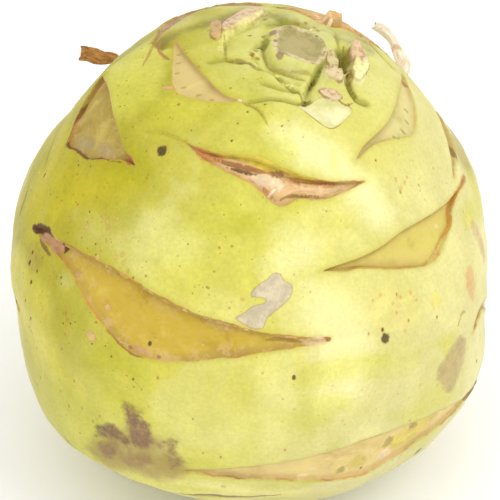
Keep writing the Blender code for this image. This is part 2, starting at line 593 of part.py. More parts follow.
def stalk_mesh(spine, half_widths, half_thicknesses, flat_side, twist):
    """A dry leaf stalk: a flattened, ridged strip along its middle line, ragged at its tip."""
    line = smooth_line(np.array(spine, float), steps=12)
    passed = np.concatenate([[0], np.cumsum(np.linalg.norm(np.diff(line, axis=0), axis=1))])
    at = np.linspace(0, passed[-1], int(passed[-1] / STALK_STEP) + 2)
    middle = np.stack([np.interp(at, passed, line[:, k]) for k in range(3)], -1)
    along = np.gradient(middle, axis=0)
    along /= np.linalg.norm(along, axis=1)[:, None]
    share = np.linspace(0, 1, len(half_widths))
    turns = np.linspace(0, 2 * np.pi, STALK_SIDES, endpoint=False)
    ragged = np.random.default_rng(SEED).uniform(-0.5, 0.3, STALK_SIDES)
    mesh = bmesh.new()
    rings = []
    for k, (place, way) in enumerate(zip(middle, along)):
        t = k / (len(middle) - 1)
        side = np.array(flat_side) - (np.array(flat_side) @ way) * way
        side /= np.linalg.norm(side)
        through = np.cross(way, side)
        angle = np.radians(twist) * t
        side, through = (np.cos(angle) * side + np.sin(angle) * through,
                         np.cos(angle) * through - np.sin(angle) * side)
        ridge = 1 + STALK_RIDGE_DEPTH * np.cos(STALK_RIDGES * turns + 2.5 * t)
        wide = np.interp(t, share, half_widths) * ridge * np.cos(turns)
        thick = np.interp(t, share, half_thicknesses) * ridge * np.sin(turns)
        end = ragged * (k == len(middle) - 1)
        ring = place + wide[:, None] * side + thick[:, None] * through + end[:, None] * way
        rings.append([mesh.verts.new(p * METRES) for p in ring])
    for lower, upper in zip(rings, rings[1:]):
        for i in range(STALK_SIDES):
            j = (i + 1) % STALK_SIDES
            mesh.faces.new((lower[i], lower[j], upper[j], upper[i]))
    for ring in (rings[0], rings[-1]):
        cap = mesh.faces.new(ring)
        bmesh.ops.poke(mesh, faces=[cap])
    bmesh.ops.recalc_face_normals(mesh, faces=mesh.faces[:])
    return mesh


def material(name, colour, roughness):
    made = bpy.data.materials.new(name)
    made.use_nodes = True
    shader = made.node_tree.nodes["Principled BSDF"]
    shader.inputs["Base Color"].default_value = (*colour, 1)
    shader.inputs["Roughness"].default_value = roughness
    shader.inputs["Metallic"].default_value = 0
    return made


def add_object(name, mesh, collection, look):
    data = bpy.data.meshes.new(name)
    mesh.to_mesh(data)
    mesh.free()
    data.shade_smooth()
    data.set_sharp_from_angle(angle=np.radians(40))
    data.materials.append(look)
    made = bpy.data.objects.new(name, data)
    collection.objects.link(made)
    return made


def main():
    for old in list(bpy.data.objects):
        bpy.data.objects.remove(old)
    kohlrabi = bpy.data.collections.new("kohlrabi")
    bpy.context.scene.collection.children.link(kohlrabi)
    skin = material("skin", (0.72, 0.70, 0.16), 0.45)
    add_object("corm", corm_mesh(), kohlrabi, skin)
    dry = material("dry_stalk", (0.55, 0.36, 0.16), 0.8)
    for name, spec in STALKS.items():
        add_object(name, stalk_mesh(**spec), kohlrabi, dry)


main()
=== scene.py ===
"""The looks of the kohlrabi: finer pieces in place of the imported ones, their materials, light and camera.

The forms are those of the part, worked out from the same dimensions on a finer mesh, with the small relief
of skin, scars and dry fibres added. Lengths are millimetres, turned to metres where a mesh is made.
"""

import bmesh
import bpy
import numpy as np
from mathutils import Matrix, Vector, noise
from mathutils.geometry import delaunay_2d_cdt
from mathutils.kdtree import KDTree


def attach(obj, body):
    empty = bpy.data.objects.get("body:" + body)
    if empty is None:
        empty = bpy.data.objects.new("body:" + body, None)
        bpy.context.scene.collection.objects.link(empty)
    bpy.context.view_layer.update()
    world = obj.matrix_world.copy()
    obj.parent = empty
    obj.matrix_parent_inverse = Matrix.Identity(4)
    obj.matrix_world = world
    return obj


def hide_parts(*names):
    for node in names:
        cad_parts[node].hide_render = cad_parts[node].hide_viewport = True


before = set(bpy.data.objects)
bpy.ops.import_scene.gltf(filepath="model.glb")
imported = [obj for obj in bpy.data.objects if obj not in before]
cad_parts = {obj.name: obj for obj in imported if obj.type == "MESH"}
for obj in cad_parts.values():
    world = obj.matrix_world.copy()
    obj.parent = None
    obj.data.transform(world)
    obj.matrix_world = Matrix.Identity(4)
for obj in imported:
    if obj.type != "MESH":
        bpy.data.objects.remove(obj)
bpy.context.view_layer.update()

METRES = 0.001

# Driving dimensions
CENTRE_HEIGHT = 48.0
ROOT_ANGLE = 13.6
NECK_ANGLE = 16.0
PROFILE = (  # latitude in degrees, distance from the centre
    (-90, 44.0), (-76, 46.6), (-60, 51.0), (-34, 53.2), (-10, 50.0), (12, 48.4), (36, 46.8), (58, 50.2),
    (90, 51.5),
)
SWELLS = (  # longitude, latitude, height, spread in degrees
    (60, -12, 1.5, 22), (-60, -24, 0.3, 20), (105, 19, 0.8, 18), (150, 46, 0.5, 18),
    (-105, 17, 0.4, 16), (0, -52, -1.8, 22), (93, 3, -0.7, 15), (73, -24, 1.2, 14),
    (43, -43, 0.4, 14), (-38, -47, -1.4, 15), (-126, 37, -1.3, 12), (-160, 53, 1.2, 16),
    (-94, -6, -0.5, 12), (84, -9, -1.3, 9),
)
UNDULATION = 0.35
UNDULATION_WAVES = 14
SEED = 7

# The crown's map: degrees from the crown's centre, x to the right and y to the back
CROWN_LONGITUDE = 90.0
CROWN_LATITUDE = 78.0

# Leaf scars that the picture shows: both edges run from the left tip to the right tip
SCARS = {
    "front": dict(
        upper=((-74, 19), (-68, 22.5), (-60, 24.2), (-38, 26.6), (-15, 22.5), (5, 18.5), (19, 15.2)),
        lower=((-74, 19), (-56, 21), (-42, 15.5), (-31, 9.5), (-25, 8.4), (-14, 10.5), (0, 13.3),
               (19, 15.2)),
        lip=0.9, recess=0.5),
    "right": dict(
        upper=((19.6, 31.3), (28, 32.2), (38, 32.5), (48, 33.2), (57, 32.2), (68, 30.1), (80, 27.6),
               (87.6, 25.3)),
        lower=((19.6, 31.3), (26.4, 29.8), (32.5, 29.2), (41.2, 25.9), (50.7, 22.3), (56.6, 21.6),
               (65.8, 24.1), (71, 26.1), (79.8, 26.5), (87.6, 25.3)),
        lip=1.1, recess=0.6),
    "low_front": dict(
        upper=((-16.5, -21.8), (-7, -19.2), (2.3, -17.5), (12, -16.2), (28, -14.4), (48, -16.5), (69, -22)),
        lower=((-16.5, -21.8), (-9.5, -22.4), (0, -23.8), (7.2, -24.4), (14, -26.1), (23, -28), (29, -28.6),
               (40, -25.5), (57, -23.4), (69, -22)),
        lip=0.8, recess=0.5),
    "husked": dict(
        upper=((-30, 59.8), (-16, 59.3), (2, 58.6), (13.4, 55.8), (26, 51.9), (43, 47.5)),
        lower=((-30, 59.8), (-18, 56.9), (-8.7, 55.2), (2, 52.1), (7.5, 48.6), (11.6, 47.5), (16.8, 48.8),
               (24.6, 47.3), (32.5, 47.2), (43, 47.5)),
        lip=0.9, recess=0.6, husk=1.0),
    "left": dict(
        upper=((-103, 53.5), (-84, 57.6), (-68, 56.6), (-56, 54.2), (-50, 52.3), (-45, 50.4)),
        lower=((-103, 53.5), (-97.5, 49), (-90.5, 44), (-85.5, 41.3), (-81.9, 39.4), (-75.9, 42),
               (-69.6, 43), (-61.9, 46.5), (-52.3, 50), (-45, 50.4)),
        lip=1.9, recess=0.7),
    "crown_left": dict(
        on_crown=True,
        upper=((-28.4, 4.5), (-25.5, -3.1), (-21.5, -10.6), (-17.7, -15.8), (-13.8, -18.3)),
        lower=((-28.4, 4.5), (-29, -2.2), (-29, -9), (-28.7, -12), (-27.6, -14.3), (-24, -16.4),
               (-18, -18.7), (-13.8, -18.3)),
        lip=0.3, recess=0.25),
    "crown_right": dict(
        on_crown=True,
        upper=((14.4, -27), (15.6, -22.5), (18, -18.6), (20.9, -13.4), (22.8, -7), (23.8, -1.5),
               (25.4, 6.6), (27.2, 13)),
        lower=((14.4, -27), (19.3, -19.9), (25.7, -14.4), (29.2, -11.2), (30.4, -8.6), (30.6, -4.4),
               (29.2, 3), (27.2, 13)),
        lip=0.5, recess=0.4),
    "crown_back": dict(
        on_crown=True,
        upper=((24, 20), (19, 17), (15.4, 15.6), (13, 14), (9.4, 14.4), (6.9, 12.8), (4.8, 13.3),
               (2.3, 14.3), (-0.5, 16.5), (-6, 20)),
        lower=((24, 20), (16.2, 19), (12, 20), (7, 20.6), (2, 20.4), (-6, 20)),
        lip=0.3, recess=0.2, husk=0.9),
    "back_right": dict(
        fine=False,
        upper=((80, 30.2), (88.6, 33), (96, 35.6), (104, 37.4), (125, 42), (150, 43), (170, 40), (188, 34)),
        lower=((80, 30.2), (90, 29.4), (100, 30.6), (118, 29), (140, 25.5), (150, 26), (165, 30),
               (188, 34)),
        lip=1.0, recess=0.7),
    "low_right": dict(
        fine=False,
        upper=((62.5, -3.2), (66, -0.8), (71, -0.4), (76, -3), (84, -7), (95, -9), (115, -8), (140, -8),
               (158, -12)),
        lower=((62.5, -3.2), (69.5, -2.6), (74, -5), (82, -10.5), (95, -16), (115, -18), (140, -15),
               (158, -12)),
        lip=0.7, recess=0.8),
    "crown_far": dict(
        on_crown=True,
        upper=((-8, 21), (-13, 20), (-20, 21.5), (-26, 18.6), (-30, 13), (-33.5, 7)),
        lower=((-8, 21), (-14, 28), (-24, 31), (-31, 24.5), (-33.3, 15), (-33.5, 7)),
        lip=0.4, recess=0.3),
}
# Leaf scars on the sides hidden from the picture: longitude, latitude, half width, rise and dip, in degrees
HIDDEN_SCARS = (
    (-165, 17, 38, 6.0, 8.0), (-112, -5, 40, 5.0, 8.0), (162, -22, 40, 5.0, 7.0),
    (-52, -35, 44, 3.5, 5.0), (82, -40, 36, 3.5, 4.5), (-145, -41, 36, 3.5, 5.0), (-2, -50, 36, 3.0, 4.0),
    (135, -54, 38, 3.0, 4.0), (-90, -56, 38, 3.0, 4.0),
)
HIDDEN_LIP = 1.2
HIDDEN_RECESS = 0.7

# The cut end of the stem on the crown, its leaf-stalk stubs and the folds round them, on the crown's map
CROWN_HOLLOW = (1.2, 9.5)
STEM_END = ((-7, -2.2), (-6.6, 1.2), (-6.8, 3.8), (-4.2, 5.5), (-1.5, 5.2), (1.2, 4.6), (3.4, 3.2),
            (4.5, 0.4), (4.2, -3), (2.9, -6.2), (1.2, -6.6), (-1.6, -6), (-4.1, -5.1), (-6.4, -4.6))
STEM_END_HEIGHT = 1.9
STEM_SLOPE = 2.2
STUBS = (  # outline, height above the crown there
    (((10.7, -1), (10.8, 4.9), (12, 7.2), (12.9, 3.6), (13.9, 1.5), (12.4, -1)), 1.8),
    (((10.4, -1.6), (12.3, -1.3), (14, 0.9), (14.8, -0.9), (12.8, -6.2), (11.8, -6.9), (10.8, -5.4)), 1.4),
    (((4.7, -2.6), (6.4, -0.9), (7.7, -2.4), (6.9, -4.5), (5, -4.7)), 1.3),
    (((4.2, -6.9), (6.2, -5.4), (8, -4.8), (8.8, -6.7), (8, -9), (6.3, -8.4)), 1.1),
    (((3.5, -13), (5.5, -12), (8, -12.4), (8.8, -13.4), (7.1, -14.7), (4.4, -14.2)), 0.8),
    (((-17.9, 8.4), (-16.4, 11), (-13.9, 14.6), (-11.7, 16), (-9, 16.1), (-9.2, 12.8), (-11.9, 9.5),
      (-14.1, 7.5), (-16.3, 5.7), (-17.9, 4.9)), 0.7),
    (((-20.6, 5.5), (-20.4, 9.4), (-19.4, 11), (-18.3, 9), (-18.2, 4.4), (-18.9, 1.5), (-20.3, 2.4)), 0.5),
    (((5.6, 15), (6.2, 17.6), (8.4, 17.4), (8.8, 15.4), (7, 14.2)), 1.8),
)
CREASES = (  # line, width, depth, and how far its left side stands up beside it
    (((8.6, 5.5), (9.2, 2.8), (9.5, -0.5), (9.4, -3), (9.5, -5)), 1.3, 2.3, 0),
    (((7.6, 12), (7.9, 9.3), (8.1, 5.9), (8.7, 3.2)), 0.5, 0.7, 0),
    (((9.8, -4.4), (10.7, -8.2), (12, -10.7), (13.6, -11.5), (17, -10.8)), 0.7, 1.3, 0.5),
    (((5.4, -1.4), (4.8, -3.6), (3.2, -6.4), (2.4, -9.4), (1.4, -12.2), (0.9, -15.4)), 0.65, 1.6, 0),
    (((-14, -18.3), (-10.5, -17.9), (-7.4, -17.1), (-4.1, -16.9), (-0.8, -17.1), (1.4, -16.2), (3.4, -14)),
     0.7, 1.0, -0.6),
    (((-12.8, -6.9), (-10.7, -7.8), (-8.8, -7.8), (-6.8, -8.9), (-4.4, -11.5), (-2.1, -13.1), (0.6, -14.4)),
     0.7, 1.2, -0.5),
    (((-9.9, -12), (-7.5, -13.2), (-4.3, -13.7), (-1, -13.9)), 0.6, 0.7, 0.3),
    (((-22.6, -6.4), (-20, -5.6), (-17.4, -5.2), (-15.4, -6), (-13, -6.6), (-12, -7.2)), 0.8, 0.8, 0.2),
    (((-9, 12.4), (-11.9, 8.8), (-14.5, 6.2), (-16.7, 3.2), (-17.6, 0.2), (-17.7, -4.2)), 0.6, 0.9, -0.9),
    (((-12.2, -1.6), (-11.1, -4.5), (-9.7, -6.9)), 0.6, 0.7, 0.2),
    (((-9.1, 3.6), (-9.1, -0.2), (-8.8, -3.4), (-7.9, -6.4), (-5.6, -8), (-2.1, -9.3), (1.6, -10)),
     0.9, 0.9, 0),
    (((-12.4, -1.8), (-10.7, -0.4), (-9.4, 1.6)), 0.6, 0.5, 0),
    (((16.5, 16.5), (18.4, 13.4), (19.8, 11.2), (22, 9.6), (25, 8.4)), 0.6, 0.6, 0.3),
    (((-7.6, 9), (-4.5, 10.6), (-1.4, 10.8), (2.5, 9)), 0.8, 0.9, 0.3),
    (((-13.6, -18.6), (-11.1, -19.4), (-9.3, -20.8), (-8.2, -22.6)), 0.6, 0.5, 0.2),
    (((-6.4, -10.8), (-3.2, -11), (0.4, -11.8)), 0.6, 0.5, 0.2),
)
GAP = ((-0.4, -13.8), (2.2, -14.2), (1.5, -15.6), (0.5, -17))
GAP_DEPTH = 1.3
SLICE = ((-1.2, -17.7), (1.6, -16.5), (3.7, -14.6), (6, -14.6), (9.2, -14.2), (11.7, -15), (10.6, -17.6),
         (8, -21.1), (5.8, -21.6), (3.9, -20.8), (1.2, -19.4))
SLICE_DEPTH = 0.5

# The dry leaf stalks: the middle line from the root end to the torn tip, and the half width and half
# thickness there. Each stands in a pit of the corm, clear of its walls.
STALKS = {
    "stalk_left": dict(
        spine=((-27.3, 26.3, 76.8), (-27.8, 26.9, 77.3), (-29.1, 27.4, 77.4), (-30.8, 27.8, 77.1),
               (-33.3, 28.7, 77.4), (-35.6, 29.3, 77.4)),
        half_widths=(1.1, 1.2, 1.35, 1.7, 1.5, 1.55), half_thicknesses=(0.7, 0.6, 0.5, 0.5, 0.42, 0.36),
        flat_side=(-0.35, 0.35, 0.87), twist=18.0),
    "stalk_right": dict(
        spine=((31.5, 25.7, 74.5), (32.2, 26.2, 75.0), (32.1, 27.9, 75.6), (31.1, 29.5, 76.8),
               (30.2, 31.2, 78.2), (29.2, 32.6, 79.2), (27.8, 33.9, 80.1), (25.7, 35.0, 80.6)),
        half_widths=(1.0, 1.3, 1.25, 1.0, 0.95, 1.15, 0.8),
        half_thicknesses=(0.6, 0.55, 0.45, 0.4, 0.38, 0.36, 0.32),
        flat_side=(0.9, 0.2, 0.3), twist=-25.0),
}
STALK_RIDGES = 5
STALK_RIDGE_DEPTH = 0.1
STALK_FIBRE_DEPTH = 0.13
STALK_SIDES = 48
STALK_STEP = 0.12
PIT_DEPTH = 1.7
PIT_CLEARANCE = 0.35

# The corm's mesh: how far apart its points lie
BODY_SPACING = 1.35
SCAR_SPACING = 0.65
HIDDEN_SPACING = 1.1
CROWN_SPACING = 0.5
CROWN_REACH = 17.5
WALL = 0.4
ROOT_POINTS = 150

CROWN_EXTENT = 34.0
MOST_POINTS = 200000

# Small relief of the skin, the scar floors, the cut faces and the crown, in millimetres
LUMPS = 0.22
SCAR_GRAIN = 0.12
CUT_GRAIN = 0.16
RIPPLES = 0.16
RIPPLE_LENGTH = 1.5
MARK_DEPTH = 0.1

# The finer pieces are drawn in by this factor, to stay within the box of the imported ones
FIT = 0.9985

# Camera and light: angles in degrees, places in metres
CAMERA_ELEVATION = 38.0
CAMERA_DISTANCE = 0.6
CAMERA_LENS = 209.16
CAMERA_SENSOR = 36
CAMERA_NEAR = 0.01
FLOOR_SIZE = 1.5
FLOOR_TONES = (0.93, 0.96)
WORLD_STRENGTH = 1.15
LIGHTS = (  # name, place, size, power in watts
    ("key", (0.45, -0.25, 0.62), 0.5, 1.5),
    ("fill", (-0.5, -0.45, 0.45), 0.8, 0.2),
)

# Surfaces: the skin's sheen is fainter on the crown than lower down, and a little light goes into it
SKIN_ROUGHNESS = 0.42
SCAR_ROUGHNESS = 0.6
STALK_ROUGHNESS = 0.8
FLOOR_ROUGHNESS = 0.9
SHEEN = (0.12, 0.45)
SUBSURFACE_SHARE = 0.1
SUBSURFACE_RADIUS = (1.0, 0.8, 0.25)
SUBSURFACE_SCALE = 0.002

# Colours as pictures store them, 0 to 255
SKIN_OLIVE_AND_SHADE = (168, 158, 38)
SKIN_BACK = (150, 142, 30)
SKIN_YELLOW = (204, 198, 90)
SKIN_PALE_AND_LIGHT = (205, 197, 129)
SKIN_CLOUD = (222, 216, 142)
SPECKLE = (128, 100, 34)
SPECKLE_ORANGE = (170, 124, 52)
LENTICEL = (208, 174, 104)
MARK_EDGE = (158, 112, 56)
EDGE_YELLOW = (176, 162, 50)
EDGE_BROWN = (140, 92, 42)
EDGE_ORANGE = (196, 140, 66)
SCAR_BORDER = (172, 144, 78)
RIM_PINK = (198, 154, 104)
CORKY = (210, 176, 122)
TIP_BROWN = (140, 96, 54)
SCAR_SHADE = (200, 176, 120)
LEDGE_PAINTED_SHADOW = (176, 148, 92)
SCAR_LIGHT = (232, 210, 120)
FIBRE_BROWN = (170, 112, 60)
FIBRE_PALE = (236, 214, 172)
CROWN_GREEN = (202, 202, 138)
CROWN_DARK = (196, 194, 96)
CREASE_PAINTED_DEEP_SHADE = (134, 132, 44)
CREASE_PAINTED_SHADE = (150, 148, 52)
SLICE_CREAM = (206, 201, 134)
SLICE_PALE = (222, 216, 168)
PEELED_PINK = (202, 187, 158)
STEM_FACE = (172, 158, 106)
STEM_RIM = (206, 188, 144)
STEM_SHADE = (152, 142, 86)
STUB_SHADE = (170, 134, 90)
STUB_EDGE = (128, 84, 50)
ROOT_BROWN = (150, 120, 80)
ROOT_PALE = (214, 196, 150)
HIDDEN_TINT = (206, 182, 96)
RICHER = (244, 246, 196)
SCAR_TINTS = (  # in the order of the scars
    (194, 166, 60), (204, 190, 98), (214, 192, 120), (216, 176, 126), (170, 148, 66), (204, 182, 118),
    (206, 196, 130), (216, 176, 124), (196, 176, 110), (190, 152, 92), (158, 126, 92),
)
# The border's brownness also scales the painted shadow under the scar's ledge
SCAR_LOOKS = (  # how fibrous the face is, how brown its border, and how far it shows over the ledge
    (0.05, 0.8, 0.5), (0.05, 0.5, 0), (0.15, 0.8, 0), (0.55, 0.4, 0), (0.12, 0.7, 0), (0.05, 0.15, 0),
    (0.05, 0.2, 0), (0.7, 0.6, 0), (0.2, 0.3, 0), (0.1, 0.5, 0), (0.3, 0.3, 0),
)
HIDDEN_LOOK = (0.1, 0.5, 0)
STUB_TINTS = (  # in the order of the stubs
    (216, 186, 146), (232, 226, 160), (206, 190, 138), (214, 194, 150), (214, 190, 152), (206, 182, 146),
    (196, 164, 104), (214, 186, 146),
)
STALK_SHADES = {
    "stalk_left": ((188, 136, 66), (156, 104, 42), (98, 60, 24)),
    "stalk_right": ((250, 244, 226), (238, 220, 186), (214, 176, 130)),
}
# Broad tones of the skin, one a painted highlight: outline in degrees, colour, strength, softness in
# millimetres
CLOUDS = (
    # Green and yellow to the left of the crown
    (((-50, 60), (-55, 66), (-39, 73), (-26, 69), (-32, 64), (-44, 60)), (198, 192, 62), 0.45, 8),
    (((-77, 54), (-91, 57), (-102, 61), (-109, 66), (-91, 72), (-61, 68), (-57, 63), (-63, 57)),
     (208, 202, 104), 0.9, 5),
    # Olive on the left shoulder
    (((-82, 17), (-86, 25), (-93, 34), (-110, 42), (-75, 40), (-49, 49), (-43, 46), (-54, 37), (-64, 25),
      (-72, 15)), (192, 178, 32), 0.75, 9),
    # Pale patches in front, from the crown down; the first is a painted highlight
    (((10, 64), (25, 64), (38, 58), (44, 51), (47, 38), (41, 38), (32, 47), (19, 55)),
     (240, 236, 180), 0.65, 6),
    (((-35, 39), (-28, 43), (-17, 41), (-17, 35), (-29, 31)), (234, 230, 150), 0.45, 7),
    (((9, 41), (20, 41), (20, 33), (11, 31), (5, 34)), (236, 231, 170), 0.6, 6),
    (((13, 29), (24, 26), (29, 15), (27, 0), (18, -2), (14, 11)), (236, 229, 168), 0.75, 8),
    (((3, 10), (10, 12), (9, -7), (4, -13), (2, -5)), (232, 226, 150), 0.4, 6),
    # Olive below the large front scar
    (((-34, 5), (-18, 11), (-3, 11), (-1, 3), (-10, -8), (-23, -11), (-34, -6)), (196, 188, 56), 0.5, 9),
    # The haze round the blotch at the lower left
    (((-43, -24), (-34, -17), (-29, -13), (-23, -12), (-18, -18), (-14, -22), (-22, -28), (-31, -27),
      (-38, -29), (-43, -28)), (150, 122, 60), 0.75, 4),
    # Pale below the lowest scar
    (((-12, -25), (0, -28), (13, -30), (13, -34), (0, -32), (-12, -29)), (230, 222, 136), 0.6, 4),
    # Yellow low on the left
    (((-84, 4), (-72, 12), (-58, 10), (-50, -2), (-42, -10), (-56, -10), (-68, -6), (-82, -6)),
     (210, 198, 84), 0.7, 7),
    # The far side of the crown
    (((-90, 82), (-40, 82), (-6, 82), (11, 77), (20, 73), (9, 73), (-8, 74), (-27, 77), (-51, 79)),
     (200, 194, 108), 0.75, 5),
    (((-106, 66), (-115, 70), (-137, 74), (-164, 73), (171, 73), (139, 73), (120, 66), (116, 59),
      (108, 60), (107, 66), (122, 74), (154, 79), (-151, 80), (-112, 75), (-92, 70)),
     (128, 114, 18), 0.9, 4),
    # Brown in the scar behind the right shoulder
    (((114, 35), (112, 28), (107, 21), (96, 20), (90, 26), (92, 31), (102, 35)), (160, 138, 72), 0.6, 4),
)
# Stains with uneven, soft outlines, and one painted shadow: outline in degrees, colour, strength, softness
# in millimetres
STAINS_AND_PAINTED_SHADOW = (
    # The peeled patch in the middle
    (((-3.8, 22.3), (-2.4, 23.1), (-0.8, 23.7), (0.4, 25), (2.2, 25.4), (4.1, 25.8), (4.1, 26.4),
      (3.2, 27), (0.1, 27.4), (0.6, 28.3), (2.1, 29.9), (3.3, 30.5), (4.8, 31.1), (6.7, 32.5),
      (8.5, 32.1), (9.1, 30.6), (11.2, 29.3), (11.3, 28.4), (10.4, 26.6), (8.5, 25.1), (5.9, 23.4),
      (4, 22), (3, 20.1), (-0.6, 20.7)), PEELED_PINK, 0.95, 0.2),
    # The blotch at the lower left, lobe by lobe
    (((-30.5, -6.2), (-28.5, -5.6), (-25.9, -6.6), (-25.8, -8.5), (-23.2, -9.4), (-23.4, -13),
      (-22.3, -14), (-23.2, -16.5), (-25, -18), (-28.7, -17.2), (-29.2, -11.7)), (130, 96, 66), 1.0, 1.6),
    (((-40, -19.6), (-38.4, -16.8), (-35.2, -14.3), (-32.8, -13.8), (-29.8, -16), (-29.6, -17.8),
      (-34.8, -17.3), (-37.4, -20), (-39.6, -20.6)), (118, 86, 52), 1.0, 1.6),
    (((-22, -15.2), (-20, -13.2), (-16.8, -12.5), (-18, -15.8), (-16.4, -19.4), (-18.6, -21.6),
      (-20.2, -18)), (132, 98, 62), 0.95, 1.8),
    (((-39.5, -22), (-35.9, -19.6), (-32.9, -20.6), (-35.5, -25.4), (-39.1, -26)),
     (132, 98, 60), 0.85, 2.2),
    (((-32.7, -23.6), (-27, -19.6), (-23.4, -21), (-28.5, -25), (-32.5, -25.2)),
     (140, 108, 62), 0.75, 2.4),
    (((-39.4, -18), (-37.5, -15.8), (-35.6, -15.4), (-36.4, -17.6), (-38.6, -19.6)),
     (96, 62, 32), 0.9, 1.4),
    (((-30, -5.7), (-27.9, -5.1), (-25.9, -6.5), (-27, -8.7), (-29.6, -8.6)), (128, 100, 40), 0.8, 1.6),
    # Brown stains on the right
    (((55.6, 0), (58.8, -2.6), (59, -5.8), (56.4, -10.2), (52.4, -12.6), (49.6, -9), (47.6, -5.7),
      (51.4, -2.7)), (172, 146, 100), 0.85, 2),
    (((66.8, 12.6), (68, 9.8), (66.6, 6.6), (64, 5.4), (63, 10)), (204, 150, 96), 0.75, 2),
    (((78, 17), (80.5, 12.5), (81, 7), (77, 5.4), (75.6, 11)), (186, 146, 98), 0.75, 2),
    # The dark and corky tip of the large front scar
    (((-75, 18.8), (-73.2, 20.6), (-71, 22.2), (-68, 23.5), (-65, 24.2), (-62, 23.8), (-65, 22.4),
      (-67.5, 21.4), (-70.2, 19.8), (-72.6, 18.8)), (84, 50, 26), 0.95, 0.45),
    (((-69.2, 20.6), (-67.4, 21.7), (-64.6, 22.6), (-61.9, 23.5), (-59, 24.4), (-58, 22.8), (-59.2, 20.9),
      (-61.6, 20.7), (-64, 20.9), (-67, 20)), (196, 150, 112), 0.9, 0.25),
    # Painted shadow under the right end of the pale flake
    (((-58.4, 24.6), (-56.8, 24.9), (-56.6, 22.8), (-58, 21.6)), (88, 56, 26), 0.9, 0.35),
    (((-68, 20), (-64, 20), (-61, 19.6), (-62, 18.8), (-67, 18.8)), (110, 74, 44), 0.8, 0.4),
    # Tips, rims and spots of the scars
    (((88.3, 25.6), (88.3, 23.9), (81, 25.9), (74, 27), (71.4, 28.1), (76.5, 28.8), (82.3, 27.6)),
     (184, 134, 66), 0.85, 0.4),
    (((37.8, -19.6), (46, -17.6), (48.8, -20.2), (43.2, -23.2), (36.6, -23.2)),
     (204, 184, 78), 0.85, 1.5),
    (((25, -21.6), (28.6, -21.3), (28.9, -25), (24.8, -24.6)), (196, 176, 80), 0.8, 1.5),
    (((-50.8, 50), (-47.5, 50.1), (-47.3, 51.9), (-50.5, 52), (-53, 50.4)), (170, 112, 64), 0.9, 0.35),
    (((-81.5, 41), (-72, 44.2), (-66, 47), (-58.5, 49.2), (-54.3, 49.9), (-61, 50.4), (-71.6, 47.6),
      (-82, 43.6)), (168, 148, 104), 0.7, 1.5),
    (((62, -21), (69, -21.5), (68, -24), (63, -23.6)), (140, 104, 62), 0.8, 0.5),
    (((12, 16.1), (14.5, 16.5), (17, 16.3), (18.3, 15.2), (15.8, 14.8), (12.6, 15.1)),
     (216, 190, 142), 0.85, 0.5),
    # Soft patches on the skin
    (((-70.5, 14.6), (-67.3, 17.4), (-64.3, 17), (-63.2, 14.3), (-64.7, 11.1), (-69.2, 11.4)),
     (156, 124, 54), 0.45, 2.4),
    (((-28.6, 10.8), (-26.4, 10.5), (-24.3, 9.9), (-25.8, 9.2), (-27.9, 9.8)), (196, 146, 112), 0.8, 0.5),
    (((31, 23.4), (40.9, 20.8), (45.6, 15.7), (42.7, 11.3), (35.6, 12.4), (30.9, 17)),
     (224, 210, 124), 0.4, 3),
    # The scar with the torn husk
    (((-13.6, 59.1), (-4.2, 59.3), (5, 58.6), (11, 56.8), (17.3, 54.5), (26, 51.9), (22, 51.8),
      (17.7, 53.4), (13.3, 55.4), (4.7, 56), (-2, 57.7), (-10.4, 58.7)), (206, 186, 74), 0.95, 0.3),
    (((-25.3, 59.3), (-19.5, 59.6), (-11.7, 58.6), (-9.8, 57.8), (-15.4, 56.8), (-18.7, 56.8),
      (-22.7, 58)), (196, 134, 72), 0.85, 0.6),
    (((0, 55), (7.6, 54.4), (11.9, 53.4), (10.6, 50.8), (9, 51.7), (4.3, 52.1), (2, 53.6)),
     (226, 204, 166), 0.85, 0.8),
    (((8.3, 55.5), (11.7, 55.8), (13.6, 55), (12.1, 54.1), (9.4, 54.3)), (128, 84, 46), 0.75, 1),
    (((16, 54.1), (18.8, 53.5), (19.8, 52.4), (18.2, 51.6), (16.8, 52.4), (15.1, 53.3)),
     (128, 88, 52), 0.75, 1),
    (((21.6, 50.5), (27.1, 49.8), (30.7, 48.3), (28.2, 48), (23, 49.2)), (226, 194, 150), 0.7, 0.8),
)
